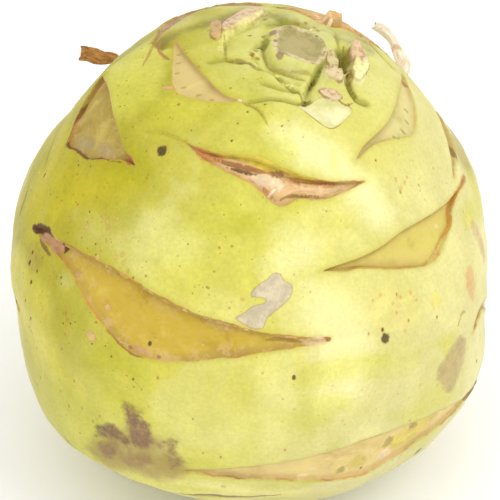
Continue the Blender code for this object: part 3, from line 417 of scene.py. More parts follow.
# The same on the crown's map: painted light on its ridges, painted shade in its hollows, and pale cut faces
CROWN_CUTS_AND_PAINTED_LIGHT = (
    (((-9.1, 14.4), (-10.6, 10.3), (-13.4, 7.1), (-16.3, 3.6), (-17.5, 0.6), (-17.5, -3.2), (-18.6, -1.9),
      (-18.4, 2.4), (-17.1, 5.2), (-12.8, 9.1), (-10, 13.6)), (232, 224, 138), 0.8, 1.6),
    (((-9.3, -0.2), (-7.7, -3.6), (-6.9, -6.7), (-8.1, -8.7), (-10.3, -5.9), (-10.7, -2.5)),
     (226, 222, 138), 0.4, 2),
    (((-8, 9.5), (-5.5, 13.3), (-3.2, 12.4), (-1.5, 11.6), (-4.1, 8.2), (-6.7, 8)),
     (126, 126, 34), 0.7, 2.4),
    (((-9.4, 2.1), (-8.4, 3.5), (-7.7, 0.7), (-8.2, -1.6), (-9.5, -0.2)), (116, 118, 34), 0.7, 1.2),
    (((-8.1, -8), (-6.4, -8.3), (-4.3, -8.6), (-1.9, -9.2), (0.1, -9.9), (-1.9, -9.9), (-4.3, -9.5),
      (-6.4, -9.1)), (240, 236, 120), 0.8, 0.8),
    (((-7.2, -10), (-5.1, -10.8), (-2.5, -11.2), (-0.3, -11.8), (-2.5, -12), (-5, -11.6)),
     (240, 238, 150), 0.8, 0.8),
    (((1.3, -11.4), (2.1, -9.4), (3, -7.4), (3.6, -5.2), (4, -6), (3.2, -9), (2, -11.6)),
     (96, 92, 26), 0.8, 0.7),
    (((0, -16.4), (0.6, -14.6), (1.8, -15), (1.2, -16.6)), (104, 104, 30), 0.75, 0.9),
    (((8.6, 2), (9.4, 4.4), (10, 0.8), (10.2, -2.9), (9.5, -4.9), (8.8, -2.5)), (110, 100, 28), 0.7, 1.2),
    (((10.8, -3), (12.3, -4), (13.6, -2), (12.8, -6.1), (11.3, -6.4)), (240, 232, 168), 0.7, 1.6),
    (((8, -15.4), (10.8, -15.4), (9.8, -18), (7.6, -20), (6.4, -17)), (240, 232, 176), 0.6, 1.6),
)
# Small marks: places and half sizes (lon, lat, mm), half height over half width, colour, strength, softness
MARKS = (
    # Dark pits and specks
    (((-54, 17.3, 0.15), (32.8, 13.7, 0.3), (49.3, 9.4, 0.2), (64.9, -13, 0.3), (-27.8, 2.2, 0.2),
      (10, 7.5, 0.35), (-24.6, 12.3, 0.4), (-38, 56.5, 0.45), (-37.3, 57.1, 0.3), (-8.3, 62, 0.2),
      (-64, -3, 0.2), (-87.4, 15, 0.2)), 1.5, (84, 62, 34), 0.9, 0.12),
    # Brown specks on the left and in the scars
    (((-68.8, 15.2, 0.35), (-68.5, 12.4, 0.5), (-63.8, 13.2, 0.25), (-65, 9.3, 0.32), (-66.6, 2.9, 0.2),
      (-62.9, 0.3, 0.25), (-83.8, 39.2, 0.5), (-85, 28, 0.4), (28.4, -26.4, 0.25), (48.9, -32.4, 0.9),
      (62, -21.3, 0.6)), 1.4, (70, 42, 20), 0.9, 0.25),
    # Olive spots, and pale ones, in the lowest scar
    (((22.7, -25, 1.1), (35, -20.3, 1.3), (42.3, -18.8, 1.0), (97, 21.7, 0.7)), 1.2,
     (156, 138, 66), 0.75, 0.8),
    (((34.6, -24.2, 1.8), (13, -24.6, 1.0), (15.4, -22.2, 0.8), (52.6, -19.2, 1.5),
      (62.8, 26.6, 0.6)), 0.8, (226, 202, 160), 0.75, 0.8),
    # Round dark marks
    (((33.2, 11.6, 0.95), (-37.9, 56.2, 1.0), (-77.7, -5.8, 0.6)), 1.1, (74, 56, 38), 0.9, 0.5),
    # Tan lenticels
    (((-53, 31.7, 0.5), (-47, 35.8, 0.55), (-45.7, 34.6, 0.45), (-43.9, 37.8, 0.4), (-44.7, 27.5, 0.5),
      (-39.2, 29.6, 0.4), (-37.5, 30.8, 0.4), (-36.2, 29.2, 0.42), (-34, 27.9, 0.25), (-49.1, 36.3, 0.35),
      (-57.6, 6.7, 0.5), (47.8, -8.7, 0.3), (42.1, -5.4, 0.3), (-6.7, -27.6, 0.5), (-60.8, 31, 0.3)), 1.2,
     LENTICEL, 0.6, 0.15),
    # Orange specks
    (((-59.6, 29.5, 0.15), (-49.1, 10.4, 0.19), (-48.1, 9, 0.14), (-48.1, 5.3, 0.19), (-49, 0.5, 0.15),
      (-44.9, -6.4, 0.22), (-50, -12.5, 0.22), (-58.7, -14.2, 0.19), (-61.5, -18.4, 0.25),
      (-21.7, 4.4, 0.19), (-25.6, 0.1, 0.14), (-47.3, -15.3, 0.22), (-42.8, -13.2, 0.19),
      (-37.2, -12.8, 0.25), (-39.6, -15.6, 0.19), (-13.1, -5.1, 0.15), (-10.9, -15, 0.12),
      (-6.7, -15.3, 0.15), (39.2, 20, 0.19), (63.2, 38.3, 0.15), (54.3, 40.5, 0.15), (40.6, 12.8, 0.19),
      (29, 14, 0.15), (8, -13, 0.12)), 1.6, (188, 134, 56), 0.8, 0.15),
    # Tan spots on the large front scar and round it, then paler ones
    (((-40.2, 8.8, 1.25), (-50.1, 20.3, 0.7), (-37.6, 17.1, 0.8), (57.3, 22.4, 0.5), (-82.6, 13, 0.4),
      (-2, 26.5, 0.3), (-28, 24.5, 0.4), (-20, 22.5, 0.35), (-12, 20.5, 0.4)), 0.9,
     (208, 170, 116), 0.8, 0.25),
    (((-28, 25, 0.5), (-16.6, 22.8, 0.55), (-6.9, 20.4, 0.45), (-1, 19.8, 0.5), (-41.1, 24.8, 0.35),
      (-37.2, 26.1, 0.35), (-5.8, 18.8, 0.5), (-11.4, 14.5, 0.4), (-23, 13.7, 0.3)), 0.6,
     (222, 192, 142), 0.7, 0.5),
    # Freckles on the right
    (((34.6, 21.5, 0.35), (37.3, 18.5, 0.3), (40, 18.9, 0.25), (43.4, 18.7, 0.3), (37.7, 16.1, 0.3),
      (32.1, 21.1, 0.25), (38.9, 11, 0.3), (44.4, 16.2, 0.3), (55.5, 43.5, 0.4), (58, 41.5, 0.35),
      (60.5, 42, 0.3)), 1.2, (206, 160, 84), 0.7, 0.3),
    # Brown middles of the tan spots
    (((-50.1, 20.2, 0.35), (-37.6, 17, 0.4), (-22, 9.6, 0.4), (-29.5, 9.8, 0.5)), 0.8,
     (164, 108, 62), 0.75, 0.2),
    # Yellow spots on the right
    (((70, 2.5, 0.5), (76.7, 19.2, 1.2), (50.4, 13.2, 1.6), (57.2, 4.5, 0.5)), 1.0,
     (218, 200, 90), 0.5, 0.6),
)
# The same on the crown's map
CROWN_MARKS = (
    (((9.3, -0.8, 0.2), (9.6, -3.3, 0.25), (10.1, -5.1, 0.28), (2.1, -9.7, 0.25), (0.9, -15.2, 0.2)), 1.2,
     (104, 44, 18), 0.9, 0.1),
    (((-7, 2.6, 0.8), (-5.6, -5.2, 0.7), (-6.6, -0.6, 0.5), (-3.4, 5.4, 0.4), (2.4, 3.6, 0.3)), 1.0,
     (136, 104, 92), 0.75, 0.3),
    (((-9.8, 0, 0.6), (-9, 3.6, 0.5), (-10.6, -1.6, 0.6), (3.4, 9, 0.5), (-12, 4, 0.5),
      (7.4, 8.6, 0.4)), 0.8, (104, 104, 40), 0.7, 0.35),
    (((-11.5, -3.2, 0.5), (-10.3, -4.4, 0.45), (-3.2, 9.8, 0.4), (-1.4, 11, 0.5), (0.6, 11.4, 0.4),
      (2.6, 10.2, 0.4), (-8.5, 11.5, 0.4), (13, 10.2, 0.3)), 0.9, (170, 124, 44), 0.8, 0.2),
    (((-6.5, 7.6, 0.45), (-5, 8, 0.4), (1.8, 9.2, 0.4), (-13.8, -18.1, 0.55), (6.3, 13.9, 0.5)), 0.9,
     (232, 214, 168), 0.9, 0.15),
    (((27.4, -3.7, 0.8), (28, -7.3, 0.8), (27.2, -11, 0.9), (25, -14.6, 0.8), (-27.7, -1, 0.6),
      (-27.8, -4.2, 0.6), (-28, -7.6, 0.6), (-26.6, -12.4, 0.6), (-23, -15.4, 0.6),
      (-20, -17.2, 0.5)), 0.4, (160, 152, 66), 0.7, 0.25),
    (((10.7, -14, 0.3), (-8.3, -18.9, 0.2), (-12, -21, 0.2), (-14, -24, 0.2), (20, -24, 0.2),
      (6, 21, 0.3)), 1.0, (100, 92, 44), 0.8, 0.15),
)
# Thin lines: points, half width in millimetres, colour, strength
LINES = (
    # Cracks and creases of the skin
    (((-105, 36.6), (-98, 33), (-93, 30.5), (-88.5, 28)), 0.5, (150, 110, 60), 0.4),
    (((-40, -33), (-20, -34.5), (-5, -34), (8, -32.5)), 0.5, (130, 92, 52), 0.8),
    (((95, 34.6), (99, 34.4), (103, 34.6)), 0.35, (110, 84, 52), 0.8),
    (((88.6, 28.2), (92, 29.6), (96, 31)), 0.3, (120, 92, 60), 0.7),
    (((3.8, 16.6), (6.7, 16.7), (9.6, 16.2), (12.4, 15.6)), 0.3, (160, 136, 60), 0.7),
    (((56, 3), (58.5, 5), (60, 4.4)), 0.25, (170, 140, 60), 0.7),
    (((-48, 57.9), (-43, 59.4), (-37, 60.1), (-30, 59.8)), 0.35, (160, 152, 44), 0.35),
    (((-53, -28.6), (-51, -29.6), (-49, -31)), 0.25, (120, 90, 50), 0.7),
    (((-90, 20), (-88, 17), (-87, 13)), 0.25, (110, 80, 44), 0.7),
    # Lines along the rims of scars
    (((88, 25), (78, 26.7), (70.8, 26.6), (66.5, 24.4), (61, 23.7), (56, 22.4), (50.7, 22.3)), 0.22,
     (196, 146, 50), 0.75),
    (((50.7, 22.3), (42, 25.5), (32.5, 29.1), (24, 31)), 0.2, (176, 134, 50), 0.6),
    (((-101.7, 53.7), (-97, 50.8), (-93.4, 46.8), (-89.7, 43.2), (-85.4, 40.4), (-83.7, 38.9),
      (-76.8, 41.7), (-68.6, 43.6), (-63.4, 46.4), (-56.9, 48), (-52.3, 49.4)), 0.28, (112, 72, 30), 0.8),
    (((-43.5, -31.6), (-37.6, -31.5), (-33, -31.9), (-28.7, -32.5), (-24.5, -33.1), (-18.9, -33.4),
      (-12, -33.6), (-4, -33.4)), 0.7, (104, 72, 38), 0.9),
    # Lines in the scar with the torn husk
    (((-9, 56.1), (-5.5, 56), (-2.3, 55.5), (2, 55)), 0.4, (96, 70, 50), 0.85),
    (((-16.6, 58), (-10, 57.2), (-2, 56.6), (4.6, 55.4), (9, 55.2)), 0.35, (150, 98, 56), 0.8),
    (((14, 54.2), (20.3, 52.5), (26.5, 51.2), (32.8, 49.3)), 0.4, (186, 126, 70), 0.8),
    (((5.5, 49.4), (7.8, 50.8), (9.8, 52)), 0.3, (248, 222, 186), 0.8),
    (((4, 52.4), (7, 50.4), (8.6, 49)), 0.3, (180, 122, 78), 0.6),
    (((10.5, 49), (14, 49.6), (20, 49), (27, 47.4)), 0.25, (126, 96, 52), 0.7),
)
# The same on the crown's map: brown and pink marks, and dark green lines along its folds that are painted
# shade
CROWN_LINES_AND_PAINTED_SHADE = (
    (((-31.9, 7.4), (-32.4, 2.8), (-31, -1), (-29.2, -3.8)), 0.3, (170, 116, 62), 0.85),
    (((-31.4, -11.3), (-29.2, -12.2), (-28.2, -12.8)), 0.35, (222, 166, 128), 0.8),
    (((24.2, 10.6), (26.7, 9.8), (27.8, 7.8), (29.2, 6.6)), 0.35, (190, 136, 92), 0.85),
    (((16.5, 16.5), (18.4, 13.4), (19.8, 11.2), (22, 9.6)), 0.25, (168, 148, 62), 0.6),
    (((-14, -18.4), (-11.2, -19.2), (-9.3, -20.6), (-7.4, -24)), 0.25, (160, 150, 50), 0.5),
    (((-33.5, 7), (-34.6, 2), (-36, -2)), 0.3, (170, 120, 66), 0.6),
    (((-9, 3), (-9, -0.2), (-8.8, -3.4), (-7.9, -6.3), (-5.6, -7.8), (-2.1, -9.2), (0.6, -9.9)), 0.2,
     (150, 146, 60), 0.55),
    (((-6.6, -7), (-3.6, -7.8), (-0.4, -8.2), (2.2, -8.4)), 0.2, (160, 156, 66), 0.5),
    (((-17.9, 4.9), (-17.9, 8.4), (-16.4, 11), (-13.9, 14.7), (-11.7, 16.1)), 0.2, (130, 84, 52), 0.8),
    (((-17.7, 4.6), (-17.4, -2.2), (-17.2, -4.9), (-16.4, -5.6), (-14.2, -5.5), (-12.8, -6.5),
      (-10.3, -7.7)), 0.25, (140, 134, 46), 0.6),
    (((-8.3, -8.3), (-6.4, -9.7), (-4.6, -11.6), (-3.5, -12.8), (-1.4, -13.5), (0.1, -14.5),
      (1.3, -15.5)), 0.3, (126, 128, 46), 0.6),
    (((-12.7, -18.4), (-10.5, -18.3), (-7.7, -17.4), (-4.9, -17), (-3.2, -17.4), (-1, -17.1),
      (0.7, -16.1)), 0.25, (146, 142, 44), 0.6),
    (((-10.2, -11.9), (-9, -13.2), (-6.8, -13.7), (-5.1, -14.2), (-3.4, -14.2)), 0.25,
     (156, 150, 54), 0.6),
    (((9.3, 5.5), (10.1, 2.1), (10.7, -2.5), (10.7, -6.8), (11.4, -9.2), (12.5, -10.9), (11.4, -13.2),
      (9.8, -14.5)), 0.3, (128, 120, 40), 0.65),
    (((-14.9, -6.1), (-12.6, -6.8), (-10.9, -7.1)), 0.35, (112, 88, 60), 0.7),
)


def direction(longitude, latitude):
    """The unit vector from the corm's centre to a place on it."""
    lon, lat = np.broadcast_arrays(np.radians(longitude), np.radians(latitude))
    return np.stack([np.sin(lon) * np.cos(lat), -np.cos(lon) * np.cos(lat), np.sin(lat)], -1)


def spline_through(x, knots):
    """A natural cubic through the knots."""
    kx, ky = np.array(knots, float).T
    step = np.diff(kx)
    matrix = np.eye(len(kx))
    right = np.zeros(len(kx))
    for i in range(1, len(kx) - 1):
        matrix[i, i - 1:i + 2] = step[i - 1], 2 * (step[i - 1] + step[i]), step[i]
        right[i] = 6 * ((ky[i + 1] - ky[i]) / step[i] - (ky[i] - ky[i - 1]) / step[i - 1])
    bend = np.linalg.solve(matrix, right)
    i = np.clip(np.searchsorted(kx, x) - 1, 0, len(step) - 1)
    after, before, h = x - kx[i], kx[i + 1] - x, step[i]
    return ((bend[i] * before**3 + bend[i + 1] * after**3) / (6 * h)
            + (ky[i] / h - bend[i] * h / 6) * before + (ky[i + 1] / h - bend[i + 1] * h / 6) * after)


def body_radius(towards):
    """How far the plain body reaches, before scars and crown."""
    latitude = np.degrees(np.arcsin(np.clip(towards[:, 2], -1, 1)))
    radius = spline_through(latitude, PROFILE)
    for lon, lat, height, spread in SWELLS:
        off = np.degrees(np.arccos(np.clip(towards @ direction(lon, lat), -1, 1)))
        radius = radius + height * np.exp(-((off / spread) ** 2))
    waves = np.random.default_rng(SEED)
    for _ in range(UNDULATION_WAVES):
        wave = waves.normal(size=3)
        wave *= waves.uniform(4, 9) / np.linalg.norm(wave)
        radius = radius + UNDULATION / 3 * np.sin(towards @ wave + waves.uniform(0, 2 * np.pi))
    return radius


class Map:
    """A flat map of the corm round one place: x to the right, y towards the crown, in millimetres."""

    def __init__(self, centre, up):
        self.centre = centre / np.linalg.norm(centre)
        self.y = up - (up @ self.centre) * self.centre
        self.y /= np.linalg.norm(self.y)
        self.x = np.cross(self.y, self.centre)
        self.scale = float(body_radius(self.centre[None])[0])

    def flat(self, towards):
        """The places of directions on the map."""
        angle = np.arccos(np.clip(towards @ self.centre, -1, 1))
        stretch = self.scale * angle / np.maximum(np.sin(angle), 1e-9)
        return np.stack([towards @ self.x, towards @ self.y], -1) * stretch[:, None]

    def round(self, flat):
        """The directions of places on the map."""
        angle = np.hypot(*flat.T) / self.scale
        side = np.sin(angle) / np.maximum(angle * self.scale, 1e-9)
        return (np.cos(angle)[:, None] * self.centre
                + (flat[:, 0] * side)[:, None] * self.x + (flat[:, 1] * side)[:, None] * self.y)


CROWN = Map(direction(CROWN_LONGITUDE, CROWN_LATITUDE), np.array((0.0, 1.0, 0.0)))


def crown_places(places):
    """Places on the crown's map, in degrees, as millimetres on its flat map."""
    return np.radians(np.array(places, float)) * CROWN.scale


def skin_ways(places):
    """The directions of places given as longitude and latitude."""
    return direction(*np.array(places, float).T)


def crown_ways(places):
    """The directions of places given on the crown's map."""
    return CROWN.round(crown_places(places))


def smooth_line(points, closed=False, steps=5):
    """A curve through the points, as a polyline."""
    p = np.asarray(points, float)
    before = p[-1:] if closed else 2 * p[:1] - p[1:2]
    after = p[:2] if closed else 2 * p[-1:] - p[-2:-1]
    p = np.concatenate([before, p, after])
    t = (np.arange(steps) / steps)[:, None]
    out = []
    for a, b, c, d in zip(p, p[1:], p[2:], p[3:]):
        bend, twist = 2 * a - 5 * b + 4 * c - d, 3 * b - a - 3 * c + d
        out.append(0.5 * (2 * b + (c - a) * t + bend * t**2 + twist * t**3))
    return np.concatenate(out if closed else [*out, p[-2:-1]])


def measure(points, line, closed=False):
    """For each point: its distance to the line, the share of the line passed, and its side (+1 left)."""
    ends = np.roll(line, -1, 0) if closed else line[1:]
    starts = line if closed else line[:-1]
    best = np.full(len(points), np.inf)
    share = np.zeros(len(points))
    side = np.ones(len(points))
    lengths = np.hypot(*(ends - starts).T)
    passed = np.concatenate([[0], np.cumsum(lengths)])
    for k, (a, b) in enumerate(zip(starts, ends)):
        along = b - a
        t = np.clip((points - a) @ along / (along @ along), 0, 1)
        off = points - a - t[:, None] * along
        distance = np.hypot(*off.T)
        turn = along[0] * off[:, 1] - along[1] * off[:, 0]
        nearer = distance < best - 1e-9
        best = np.where(nearer, distance, best)
        share = np.where(nearer, (passed[k] + t * lengths[k]) / passed[-1], share)
        side = np.where(nearer, np.where(turn >= -1e-9, 1, -1), side)
    return best, share, side


def inside(points, outline):
    """Which points lie within a closed outline."""
    found = np.zeros(len(points), bool)
    for (ax, ay), (bx, by) in zip(outline, np.roll(outline, -1, 0)):
        crosses = (ay > points[:, 1]) != (by > points[:, 1])
        with np.errstate(divide="ignore", invalid="ignore"):
            found ^= crosses & (points[:, 0] < (bx - ax) * (points[:, 1] - ay) / (by - ay) + ax)
    return found


def rise(x):
    """0 below 0, 1 above 1, and smooth between."""
    x = np.clip(x, 0, 1)
    return x * x * (3 - 2 * x)


class Scar:
    """One leaf scar: its map, its edges on it, and how it shapes the corm."""

    REACH = 62.0

    def __init__(self, upper, lower, lip, recess, husk=0.0, fine=True, on_crown=False):
        ways = crown_ways if on_crown else skin_ways
        self.map = Map(np.concatenate([ways(upper), ways(lower)]).mean(0), CROWN.centre)
        self.upper = smooth_line(self.map.flat(ways(upper)))
        self.lower = smooth_line(self.map.flat(ways(lower)))
        self.lip, self.recess, self.husk = lip, recess, husk
        self.spacing = SCAR_SPACING if fine else HIDDEN_SPACING

    def near(self, towards):
        """Which directions the scar can change."""
        return towards @ self.map.centre > np.cos(np.radians(self.REACH))

    def places(self, towards):
        """How far inside, below the upper edge and above the lower edge; the share passed; the length."""
        p = self.map.flat(towards)
        up, along, above = measure(p, self.upper)
        down, _, over = measure(p, self.lower)
        length = np.hypot(*np.diff(self.upper, axis=0).T).sum()
        return np.minimum(-up * above, down * over), -up * above, down * over, along, length

    def relief(self, towards):
        """How far the surface stands up, and how far it is pushed down the map over the scar."""
        p = self.map.flat(towards)
        up, along, above = measure(p, self.upper)
        down, _, over = measure(p, self.lower)
        above, over = up * above, down * over
        fade = rise(np.minimum(along, 1 - along) * 6)
        edge = 1 - rise(-above / WALL)
        lip = self.lip * fade * edge * np.exp(-np.maximum(above, 0) / 8)
        lip *= 1 - 0.3 * np.exp(-np.maximum(above, 0) / 0.5)
        within = np.minimum(-above, over)
        recess = self.recess + 0.4 * self.lip * fade * np.exp(np.minimum(above, 0) / 3)
        recess *= rise(within / WALL)
        rim = np.where((above < 0) & (over < 0), 0.25 * np.exp(-down / 1.2), 0)
        push = 0.4 * self.lip * fade * edge * np.exp(-np.maximum(above, 0) / 1.6)
        if self.husk:
            rim = rim + self.husk_relief(along, above, over)
        return lip - recess + rim, push

    def husk_relief(self, along, above, over):
        """The torn husk left in the scar: two strands that run from tip to tip."""
        share = np.clip(over / np.maximum(over - above, 0.01), 0, 1)
        waver = 0.07 * np.sin(14 * along)
        strands = np.exp(-(((share - 0.2 - waver) / 0.14) ** 2))
        strands += np.exp(-(((share - 0.58 + waver) / 0.16) ** 2))
        within = rise(np.minimum(over, -above) / 0.6) * rise(np.minimum(along, 1 - along) * 8)
        return self.husk * strands * within

    def rows(self):
        """Points of the mesh along the scar's edges: the ledge, its foot, and the rim below."""
        step = self.spacing
        for line, offset, keep_off in (
                (self.upper, 0, 0.3), (self.upper, -WALL, 0.15),
                (self.lower, 0, 0.15), (self.lower, WALL, 0.12),
                (self.upper, -0.5 * WALL, 0.12), (self.lower, 0.5 * WALL, 0.12),
                (self.upper, 0.5 * step, 0.25), (self.upper, 1.3 * step, 0.4),
                (self.upper, -WALL - step, 0.5),
                (self.lower, -0.7 * step, 0.4), (self.lower, WALL + step, 0.5)):
            points = row(line, offset, step)
            if offset:
                other = self.upper if line is self.lower else self.lower
                from_other, _, side = measure(points, other)
                inner = (offset > 0) == (line is self.lower)
                signed = from_other * side * (-1 if line is self.lower else 1)
                points = points[(signed > 0.7 * abs(offset)) | (not inner)]
            yield self.map.round(points), keep_off


def regular_scar(longitude, latitude, half_width, rise_by, dip_by):
    """A leaf scar of the usual form: its upper edge is a low arch, its lower edge a blunt point."""
    shares = np.linspace(-1, 1, 9)
    lons = longitude + half_width * shares
    uppers = latitude + rise_by * (1 - np.abs(shares) ** 1.8)
    lowers = latitude - dip_by * (1 - np.abs(shares)) ** 1.25
    edges = np.stack([lons, uppers], -1), np.stack([lons, lowers], -1)
    return Scar(*edges, HIDDEN_LIP, HIDDEN_RECESS, fine=False)


def row(line, offset, spacing, closed=False):
    """Points spaced out along a line and moved to its left by the offset."""
    if closed:
        line = np.concatenate([line, line[:1]])
    passed = np.concatenate([[0], np.cumsum(np.hypot(*np.diff(line, axis=0).T))])
    count = max(2, int(round(passed[-1] / spacing)))
    at = np.linspace(0, passed[-1], count + 1)[:-1 if closed else None]
    points = np.stack([np.interp(at, passed, line[:, k]) for k in (0, 1)], -1)
    ahead = np.stack([np.interp(at + 0.5, passed, line[:, k]) for k in (0, 1)], -1)
    behind = np.stack([np.interp(at - 0.5, passed, line[:, k]) for k in (0, 1)], -1)
    along = ahead - behind
    along /= np.hypot(*along.T)[:, None]
    return points + offset * np.stack([-along[:, 1], along[:, 0]], -1)


def crown_outline(places, steps=3):
    """A closed curve through places on the crown's map, on its flat map."""
    return smooth_line(crown_places(places), closed=True, steps=steps)


ALL_SCARS = [Scar(**spec) for spec in SCARS.values()] + [regular_scar(*spec) for spec in HIDDEN_SCARS]
STEM_LINE = crown_outline(STEM_END, steps=5)
STUB_LINES = [(crown_outline(outline), height) for outline, height in STUBS]
CREASE_LINES = [(smooth_line(crown_places(line)), *sizes) for line, *sizes in CREASES]
SLICE_LINE = crown_outline(SLICE)
GAP_LINE = crown_outline(GAP)


def signed_off(p, outline):
    """Distance to a closed outline, positive inside it."""
    off, _, _ = measure(p, outline, closed=True)
    return np.where(inside(p, outline), off, -off)


def crown_relief(p):
    """How far the crown stands up at places on its flat map."""
    depth, reach = CROWN_HOLLOW
    height = -depth * np.exp(-(p**2).sum(-1) / reach**2)
    off_stem = signed_off(p, STEM_LINE)
    clear = 1 - rise((off_stem + 1.2) / 1.2)
    for line, width, depth, stands in CREASE_LINES:
        off, along, side = measure(p, line)
        fade = clear * rise(np.minimum(along, 1 - along) * 5)
        height -= depth * fade * np.exp(-((off / width) ** 1.4))
        height += np.where(side > 0, stands * fade * (1 - np.exp(-off / 0.5)) * np.exp(-off / 3), 0)
    height -= GAP_DEPTH * rise((signed_off(p, GAP_LINE) + 0.4) / 0.8)
    for line, tall in STUB_LINES:
        height += tall * rise((signed_off(p, line) + 0.7) / 0.7)
    height -= SLICE_DEPTH * rise(signed_off(p, SLICE_LINE) / 0.6)
    height += STEM_END_HEIGHT * rise((off_stem + STEM_SLOPE) / STEM_SLOPE) ** 0.8
    return height - 0.4 * rise((off_stem - 0.6) / 1.2)


def inner_row(outline, offset, spacing):
    """Points spaced out along a closed outline and moved inwards by the offset."""
    left_is_in = signed_off(row(outline, 0.1, 1, True), outline).mean() > 0
    return row(outline, offset if left_is_in else -offset, spacing, True)


def crown_rows():
    """Points of the mesh along the outlines and creases of the crown."""
    for offset, keep_off in ((0, 0.25), (-0.8, 0.3), (-STEM_SLOPE, 0.3), (0.6, 0.3), (1.8, 0.4)):
        yield inner_row(STEM_LINE, offset, CROWN_SPACING), keep_off
    for line, _ in STUB_LINES:
        for offset in (0, -0.7):
            yield inner_row(line, offset, 0.8 * CROWN_SPACING), 0.25
    for offset in (0, 0.35, 0.7):
        yield inner_row(SLICE_LINE, offset, CROWN_SPACING), 0.25
    for line, width, *_ in CREASE_LINES:
        for offset in (0, -width, width):
            yield row(line, offset, CROWN_SPACING), 0.3


def surface(towards):
    """The corm's surface in each direction from its centre, in millimetres."""
    radius = body_radius(towards)
    push = np.zeros_like(towards)
    for scar in ALL_SCARS:
        near = scar.near(towards)
        height, slide = scar.relief(towards[near])
        radius[near] += height
        push[near] -= slide[:, None] * scar.map.y
    near = towards @ CROWN.centre > np.cos(np.radians(CROWN_EXTENT))
    radius[near] += crown_relief(CROWN.flat(towards[near]))
    for pit in ALL_PITS:
        radius += pit.relief(towards)
    points = towards * radius[:, None] + push
    points[:, 2] += CENTRE_HEIGHT
    return cut_root(points, towards)


def from_root(towards):
    """The angle between each direction and straight down, in degrees."""
    return np.degrees(np.arccos(np.clip(-towards[:, 2], -1, 1)))


def root_share(towards):
    """0 on the root's flat end and 1 where its neck has become the corm."""
    return np.round(np.clip((from_root(towards) - ROOT_ANGLE) / (NECK_ANGLE - ROOT_ANGLE), 0, 1), 4)


class Pit:
    """The hollow in the corm that a dry stalk stands in."""

    def __init__(self, spine, half_widths, **_):
        foot = np.array(spine[1]) - (0, 0, CENTRE_HEIGHT)
        self.map = Map(foot, CROWN.centre)
        self.radius = max(half_widths[:2]) + PIT_CLEARANCE

    def relief(self, towards):
        """How far the surface stands up: less than nought in the pit."""
        off = np.hypot(*self.map.flat(towards).T)
        facing = towards @ self.map.centre > 0
        return np.where(facing, -PIT_DEPTH * rise((self.radius + 0.6 - off) / 0.6), 0)

    def rows(self):
        """Points of the mesh on rings round the pit."""
        turns = np.radians(np.linspace(0, 360, 40, endpoint=False))
        ring = np.stack([np.cos(turns), np.sin(turns)], -1)
        for radius in (self.radius + 0.6, self.radius + 0.3, self.radius, 0.6 * self.radius):
            yield self.map.round(radius * ring), 0.15


ALL_PITS = [Pit(**spec) for spec in STALKS.values()]


class ColourPatch:
    """A patch of colour within an outline, on its own flat map of the corm."""

    def __init__(self, ways, colour, strength, softness, up):
        self.map = Map(ways.mean(0), up)
        self.line = self.curve(self.map.flat(ways))
        self.colour, self.strength, self.softness = colour, strength, softness
        self.reach = np.hypot(*self.line.T).max() + 4 + softness

    def curve(self, points):
        """Its outline or line, from the points that give it."""
        return smooth_line(points, closed=True, steps=3)

    def off(self, p):
        """How far inside it places on its map lie."""
        return signed_off(p, self.line)

    def rows(self):
        """Points of the mesh along its edge, and how far they keep from others."""
        for offset in (0, 0.4, -0.4):
            yield row(self.line, offset, 0.8, True), 0.3


class Streak(ColourPatch):
    """A thin line of colour."""

    def __init__(self, ways, half_width, colour, strength, up):
        super().__init__(ways, colour, strength, 0.2, up)
        self.half_width = half_width

    def curve(self, points):
        return smooth_line(points)

    def off(self, p):
        away, along, _ = measure(p, self.line)
        return self.half_width * (0.3 + 0.7 * rise(np.minimum(along, 1 - along) * 4)) - away

    def rows(self):
        for offset in (0, self.half_width, -self.half_width, 1.9 * self.half_width, -1.9 * self.half_width):
            yield row(self.line, offset, 0.9), 0.15


class Spot(ColourPatch):
    """A small oval mark."""

    def __init__(self, way, half_width, ratio, colour, strength, softness, up):
        super().__init__(way[None], colour, strength, softness, up)
        self.half_width, self.ratio = half_width, ratio

    def curve(self, points):
        return points

    def off(self, p):
        return self.half_width - np.hypot(p[:, 0], p[:, 1] / self.ratio)

    def rows(self):
        turns = np.radians(np.linspace(0, 360, 8, endpoint=False))
        ring = np.stack([np.cos(turns), self.ratio * np.sin(turns)], -1) * self.half_width
        for size in (0.01, 0.5, 1, 1.5):
            yield size * ring, 0.3 * self.half_width


def marks():
    """Every small mark and thin line, on the skin and on the crown, with painted shade along the crown's
    folds.
    """
    for groups, lines, ways, up in ((MARKS, LINES, skin_ways, CROWN.centre),
                                    (CROWN_MARKS, CROWN_LINES_AND_PAINTED_SHADE, crown_ways, CROWN.y)):
        for spots, ratio, colour, strength, softness in groups:
            for x, y, half_width in spots:
                yield Spot(ways([(x, y)])[0], half_width, ratio, colour, strength, softness, up)
        for points, half_width, colour, strength in lines:
            yield Streak(ways(points), half_width, colour, strength, up)


ALL_CLOUDS = [ColourPatch(skin_ways(outline), *look, CROWN.centre) for outline, *look in CLOUDS]
ALL_STAINS_AND_PAINTED_LIGHT = [ColourPatch(skin_ways(outline), *look, CROWN.centre) for outline, *look in STAINS_AND_PAINTED_SHADOW]
ALL_STAINS_AND_PAINTED_LIGHT += [ColourPatch(crown_ways(outline), *look, CROWN.y) for outline, *look in CROWN_CUTS_AND_PAINTED_LIGHT]
ALL_MARKS = list(marks())


def painted(towards, shapes):
    """For each direction: how far inside the nearest shape it is, its softness and strength; its colour."""
    facts = np.tile([-9.0, 1.0, 0.0], (len(towards), 1))
    tint = np.ones((len(towards), 3))
    for shape in shapes:
        near = np.flatnonzero(towards @ shape.map.centre > np.cos(shape.reach / shape.map.scale))
        off = shape.off(shape.map.flat(towards[near]))
        better = off > facts[near, 0]
        at = near[better]
        facts[at, 0] = off[better]
        facts[at, 1:] = shape.softness, shape.strength
        tint[at] = linear(*shape.colour)
    return facts, tint


def cut_root(points, towards):
    """Stands the corm on the flat end of its cut root."""
    share = root_share(towards)
    neck = share < 1
    points[neck, 2] *= share[neck] ** 0.8
    return points


